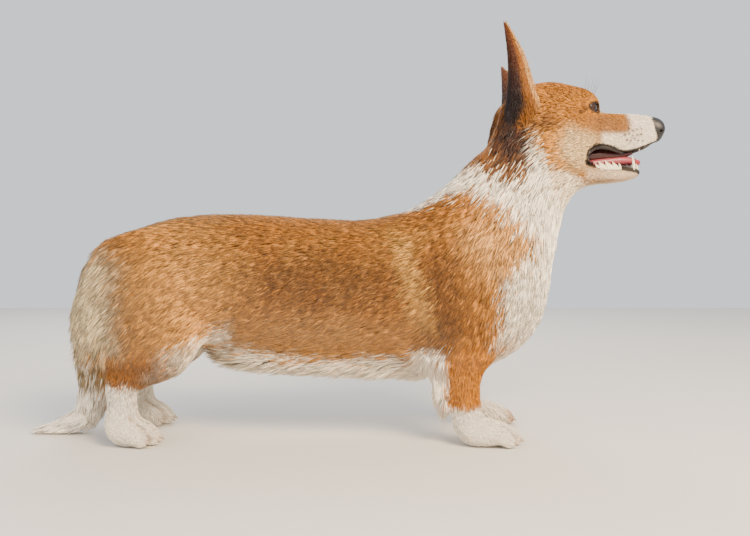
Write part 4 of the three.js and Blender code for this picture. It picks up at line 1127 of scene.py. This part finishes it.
tongue_points, tongue_faces = surface(
    tongue_field, [lines(266, 1.1, 344), lines(-16, 1.1, 16), lines(304, 0.9, 330)]
)


def tongue_look(tree, shader):
    show_paint(tree, shader)
    relief(tree, shader, "ShaderNodeTexVoronoi", "Distance", 0.3, 0.0004, Scale=1100.0)
    give(shader, Roughness=0.3, Subsurface_Weight=0.2, Subsurface_Scale=0.002)


# Wet tongue: rough with small papillae, redder towards the tip and edges
tongue = mesh_object("tongue_blade", tongue_points, tongue_faces, finish_of("wet pink tongue", tongue_look))
redder = ramp(tongue_points[:, 0], 318, 336)[:, None]
paint(tongue, linear("#9a4650") * (1 - redder) + linear("#93242f") * redder)
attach(tongue, "root")
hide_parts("tongue")

# The lips: a damp black edge along both sides of the open mouth, that meets at the corner.
# The roof and back of the mouth lie behind them, deep red and wet, painted dark as shade inside the mouth.
upper_lip = np.array([
    [265.5, 324.5], [273, 332], [285, 335.8], [298, 334], [310, 330.2], [320, 329.6], [334, 333.6],
    [344, 338.6], [348.5, 343],
])
lower_lip = np.array([
    [265.5, 322], [272, 318], [284, 316.6], [300, 316], [314, 314.6], [324, 312.6], [331.5, 309.5],
    [334, 306.5],
])
bands_made = []
for line in (upper_lip, lower_lip):
    x_line = line[0, 0] + (line[-1, 0] - line[0, 0]) * np.sin(np.linspace(0, math.pi / 2, 40))
    half_line = np.stack([x_line, np.zeros(40), np.interp(x_line, line[:, 0], line[:, 1])], 1)
    edges = []
    for sign in (-1, 1):
        found = on_skin(half_line + [0, sign * 10, 0], [0, sign, 0], -1.3)
        found[:, 1] = sign * np.maximum(found[:, 1] * sign, 0.5)
        edges.append(found)
    path = np.concatenate([edges[0], edges[1][::-1]])
    for _ in range(3):
        path[1:-1] = path[1:-1] * 0.5 + (path[:-2] + path[2:]) * 0.25
    thick = np.interp(path[:, 0], [266, 280, 320, 345], [1.3, 1.7, 1.7, 1.2])
    bands_made.append(tube(path, thick, 10, 1.25))
lips = gathered("lips", bands_made, rim_material)
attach(lips, "root")

roof = sweep([
    [273, 0, 326, 8, 14], [288, 0, 328, 8.6, 13], [304, 0, 328, 6.4, 11.5], [316, 0, 328.6, 4.4, 9],
    [326, 0, 331, 3, 7],
])
roof_points, roof_faces = surface(roof, [lines(262, 1.4, 332), lines(-17, 1.4, 17), lines(314, 1.2, 340)])


def roof_look(tree, shader):
    relief(tree, shader, "ShaderNodeTexWave", "Fac", 0.3, 0.0006, Scale=55.0, Distortion=1.5)
    give(shader, Base_Color=(*linear("#3b1516"), 1), Roughness=0.35)


# Ridged wet palate, deep red and painted dark as the shade inside the mouth behind the teeth
mouth_roof = mesh_object("mouth_roof", roof_points, roof_faces, finish_of("wet palate in shade", roof_look))
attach(mouth_roof, "root")

# The teeth: one pointed tooth of unit size is the model of them all.
# A cheek tooth is three of it side by side, the middle one tallest.


def face_outward(thing):
    hold(thing)
    bpy.ops.object.mode_set(mode="EDIT")
    bpy.ops.mesh.select_all(action="SELECT")
    bpy.ops.mesh.normals_make_consistent(inside=False)
    bpy.ops.object.mode_set(mode="OBJECT")


def drawn_out(name, path, radii, sides_round, material):
    """A pointed form, drawn out ring by ring from a disc along a path in mm that starts upright."""
    bpy.ops.object.select_all(action="DESELECT")
    bpy.ops.mesh.primitive_circle_add(
        vertices=sides_round, radius=radii[0] * mm, fill_type="NGON", location=np.array(path[0]) * mm
    )
    made = bpy.context.object
    made.name = name
    bpy.ops.object.transform_apply()
    bpy.ops.object.mode_set(mode="EDIT")
    bpy.ops.mesh.select_all(action="SELECT")
    for before, after, thick, thin in zip(path, path[1:], radii, radii[1:]):
        step = (np.array(after, float) - before) * mm
        bpy.ops.mesh.extrude_region_move(TRANSFORM_OT_translate={"value": step})
        bpy.ops.transform.resize(value=[thin / thick] * 3)
    bpy.ops.object.mode_set(mode="OBJECT")
    face_outward(made)
    bpy.ops.object.shade_smooth_by_angle(angle=math.radians(50))
    made.data.materials.append(material)
    return made


def set_out(model, name, places):
    """Copies of one form, each (place in mm, size along x, y and z, turn about y), joined.
    The model is taken away."""
    copies = []
    for place, size, turn in places:
        hold(model)
        bpy.ops.object.duplicate()
        copy = bpy.context.object
        copy.location, copy.scale = np.array(place) * mm, size
        copy.rotation_euler = (0, turn, 0)
        copies.append(copy)
    bpy.data.objects.remove(model)
    hold(copies[0])
    for copy in copies:
        copy.select_set(True)
    bpy.ops.object.transform_apply()
    bpy.ops.object.join()
    made = bpy.context.object
    made.name = name
    face_outward(made)
    return made


def two_tones(tree, shader, dark, light, **pattern):
    """A base colour between two tones, by a soft noise."""
    where = node(tree, "ShaderNodeTexCoord")
    noise = node(tree, "ShaderNodeTexNoise", [(where, "Object", "Vector")], **pattern)
    shades = node(tree, "ShaderNodeValToRGB", [(noise, "Fac", "Fac")])
    for element, tone in zip(shades.color_ramp.elements, (dark, light)):
        element.color = (*linear(tone), 1)
    tree.links.new(shades.outputs["Color"], shader.inputs["Base Color"])


def tooth_look(tree, shader):
    two_tones(tree, shader, "#e2d3ac", "#f6f0dd", Scale=260.0, Detail=2.0)
    give(shader, Roughness=0.25)


# Enamel: cream white, wet, with a trace of stain
enamel = finish_of("cream tooth enamel", tooth_look)
peg_height = 10
peg_path = [[0, 0, 0], [-0.1, 0, 3.5], [-0.5, 0, 7], [-1.0, 0, 9.2], [-1.3, 0, peg_height]]
peg = drawn_out("peg", peg_path, [1, 0.95, 0.62, 0.28, 0.06], 10, enamel)
# Each row says where the tooth stands, how far it rises over the gum, its radius and its number of cusps
lower_teeth = (
    (288, 14.4, 5.5, 3.4, 3), (296, 13.8, 6.5, 3.6, 3), (304, 12.8, 5.5, 2.8, 3), (311, 11.8, 3.8, 2.0, 1),
    (328, 8.2, 13, 2.7, 1), (332.5, 5.2, 4.5, 1.5, 1), (334, 2.2, 4.5, 1.5, 1),
)
upper_teeth = ((336, 8.6, 3, 2.5, 1), (342, 5.2, 0.5, 1.6, 1), (343.5, 2, 0.5, 1.6, 1))
# For each jaw, the height at which the roots start and the height of the gum's edge
lower_gum, upper_gum = (310, 314.5), (348, 335)
pegs = []
for sign in (-1, 1):
    for x, y, tall, radius, cusps in lower_teeth:
        for cusp in range(cusps):
            shift = (cusp - (cusps - 1) / 2) * radius * 1.15
            height = (lower_gum[1] + tall - lower_gum[0]) * (1 if cusps == 1 or cusp == 1 else 0.72)
            size = [radius * 0.78, radius * 0.78, height / peg_height]
            pegs.append(([x + shift, sign * y, lower_gum[0]], size, 0))
    for x, y, tall, radius, cusps in upper_teeth:
        height = upper_gum[0] - upper_gum[1] + tall
        size = [-radius * 0.75, radius * 0.75, height / peg_height]
        pegs.append(([x, sign * y, upper_gum[0]], size, math.pi))
teeth_piece = set_out(peg, "teeth", pegs)
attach(teeth_piece, "root")

# The claws: short curved horn on each toe, worn blunt, just clear of the floor.
# One is modelled pointing up, then copied, laid forward and set at the toes' ends.


def claw_look(tree, shader):
    two_tones(tree, shader, "#8a7663", "#d3c2ab", Scale=420.0, Detail=3.0)
    give(shader, Roughness=0.35)


# Horn: smoky brown and streaked, smooth from wear
claw_horn = finish_of("smoky claw horn", claw_look)
claw_path = [[0, 0, 0], [0.7, 0, 2.55], [2.1, 0, 5.1], [3.7, 0, 7.2], [4.8, 0, 8.5]]
claw = drawn_out("claw", claw_path, [2.9, 2.7, 2.1, 1.35, 0.5], 9, claw_horn)
toe_ends = [toe_path(*foot_place, toe)[2] for foot_place in feet for toe in range(4)]
claw_places = [([x + 2, y, z + 1.5], [1, 1, 1], math.pi / 2) for x, y, z in toe_ends]
claw_piece = set_out(claw, "claws", claw_places)
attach(claw_piece, "root")

# Whiskers from every second dark dot of the muzzle, and five stiff hairs over each eye.
# Each is a fine tapered tube.
hairs = []
s = np.linspace(0, 1, 6)[:, None]
for sign in (-1, 1):
    for x, z in whisker_rows[::2]:
        place = on_skin([[x, sign * 4.0, z]], [0, sign, 0])[0]
        reach = 15 + 9 * rng.random()
        out = np.array([-0.32 - 0.2 * rng.random(), sign * 0.95, -0.28 + 0.02 * (z - 345)])
        path = place + out * reach * s + np.array([-7, 0, -5]) * s**2
        hairs.append(tube(path, np.linspace(0.3, 0.06, 6), 4))
    for k in range(5):
        place = eye_place * [1, sign, 1] + [-3 + 2.2 * k, -sign * 2, 12.5]
        out = np.array([0.15 + 0.1 * k, sign * 0.35, 1.0])
        path = place + out * (19 + 6 * rng.random()) * s + np.array([-3, 0, 0]) * s**2
        hairs.append(tube(path, np.linspace(0.32, 0.06, 6), 4))


def whisker_look(tree, shader):
    give(shader, Base_Color=(*linear("#3c2c22"), 1), Roughness=0.4)


# Stiff dark hair with a slight shine, that stands out from the soft coat
whiskers = gathered("whiskers", hairs, finish_of("stiff dark whisker", whisker_look))
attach(whiskers, "root")

# A pale floor and soft light from all round, so that every side of the coat can be seen.
bpy.ops.object.select_all(action="DESELECT")
bpy.ops.mesh.primitive_plane_add(size=1)
floor = bpy.context.object
floor.name = "floor"
floor.scale = (4, 4, 1)
bpy.ops.object.transform_apply(location=False, rotation=False, scale=True)


def floor_look(tree, shader):
    give(shader, Base_Color=(*linear("#d9d6d0"), 1), Roughness=0.8)


# Matt paper: pale, so that white feet stand out by their shade
floor.data.materials.append(finish_of("matt pale paper", floor_look))
world = bpy.data.worlds.new("studio")
world.use_nodes = True
give(world.node_tree.nodes["Background"], Color=(*linear("#eef1f5"), 1), Strength=1.15)
bpy.context.scene.world = world
for name, place, size, power in (
    ("key", (0.8, -1.3, 1.3), 0.9, 90), ("fill", (-1.4, -1.2, 0.9), 1.4, 10),
    ("rim", (-0.3, 1.5, 1.4), 1.2, 20),
):
    bpy.ops.object.light_add(type="AREA", location=place)
    light = bpy.context.object
    light.name = name
    light.data.size = size
    light.data.energy = power
    light.data.color = linear("#ffe3bf") if name == "key" else (1, 1, 1)
    light.rotation_euler = (Vector((0, 0, 0.22)) - Vector(place)).to_track_quat("-Z", "Y").to_euler()
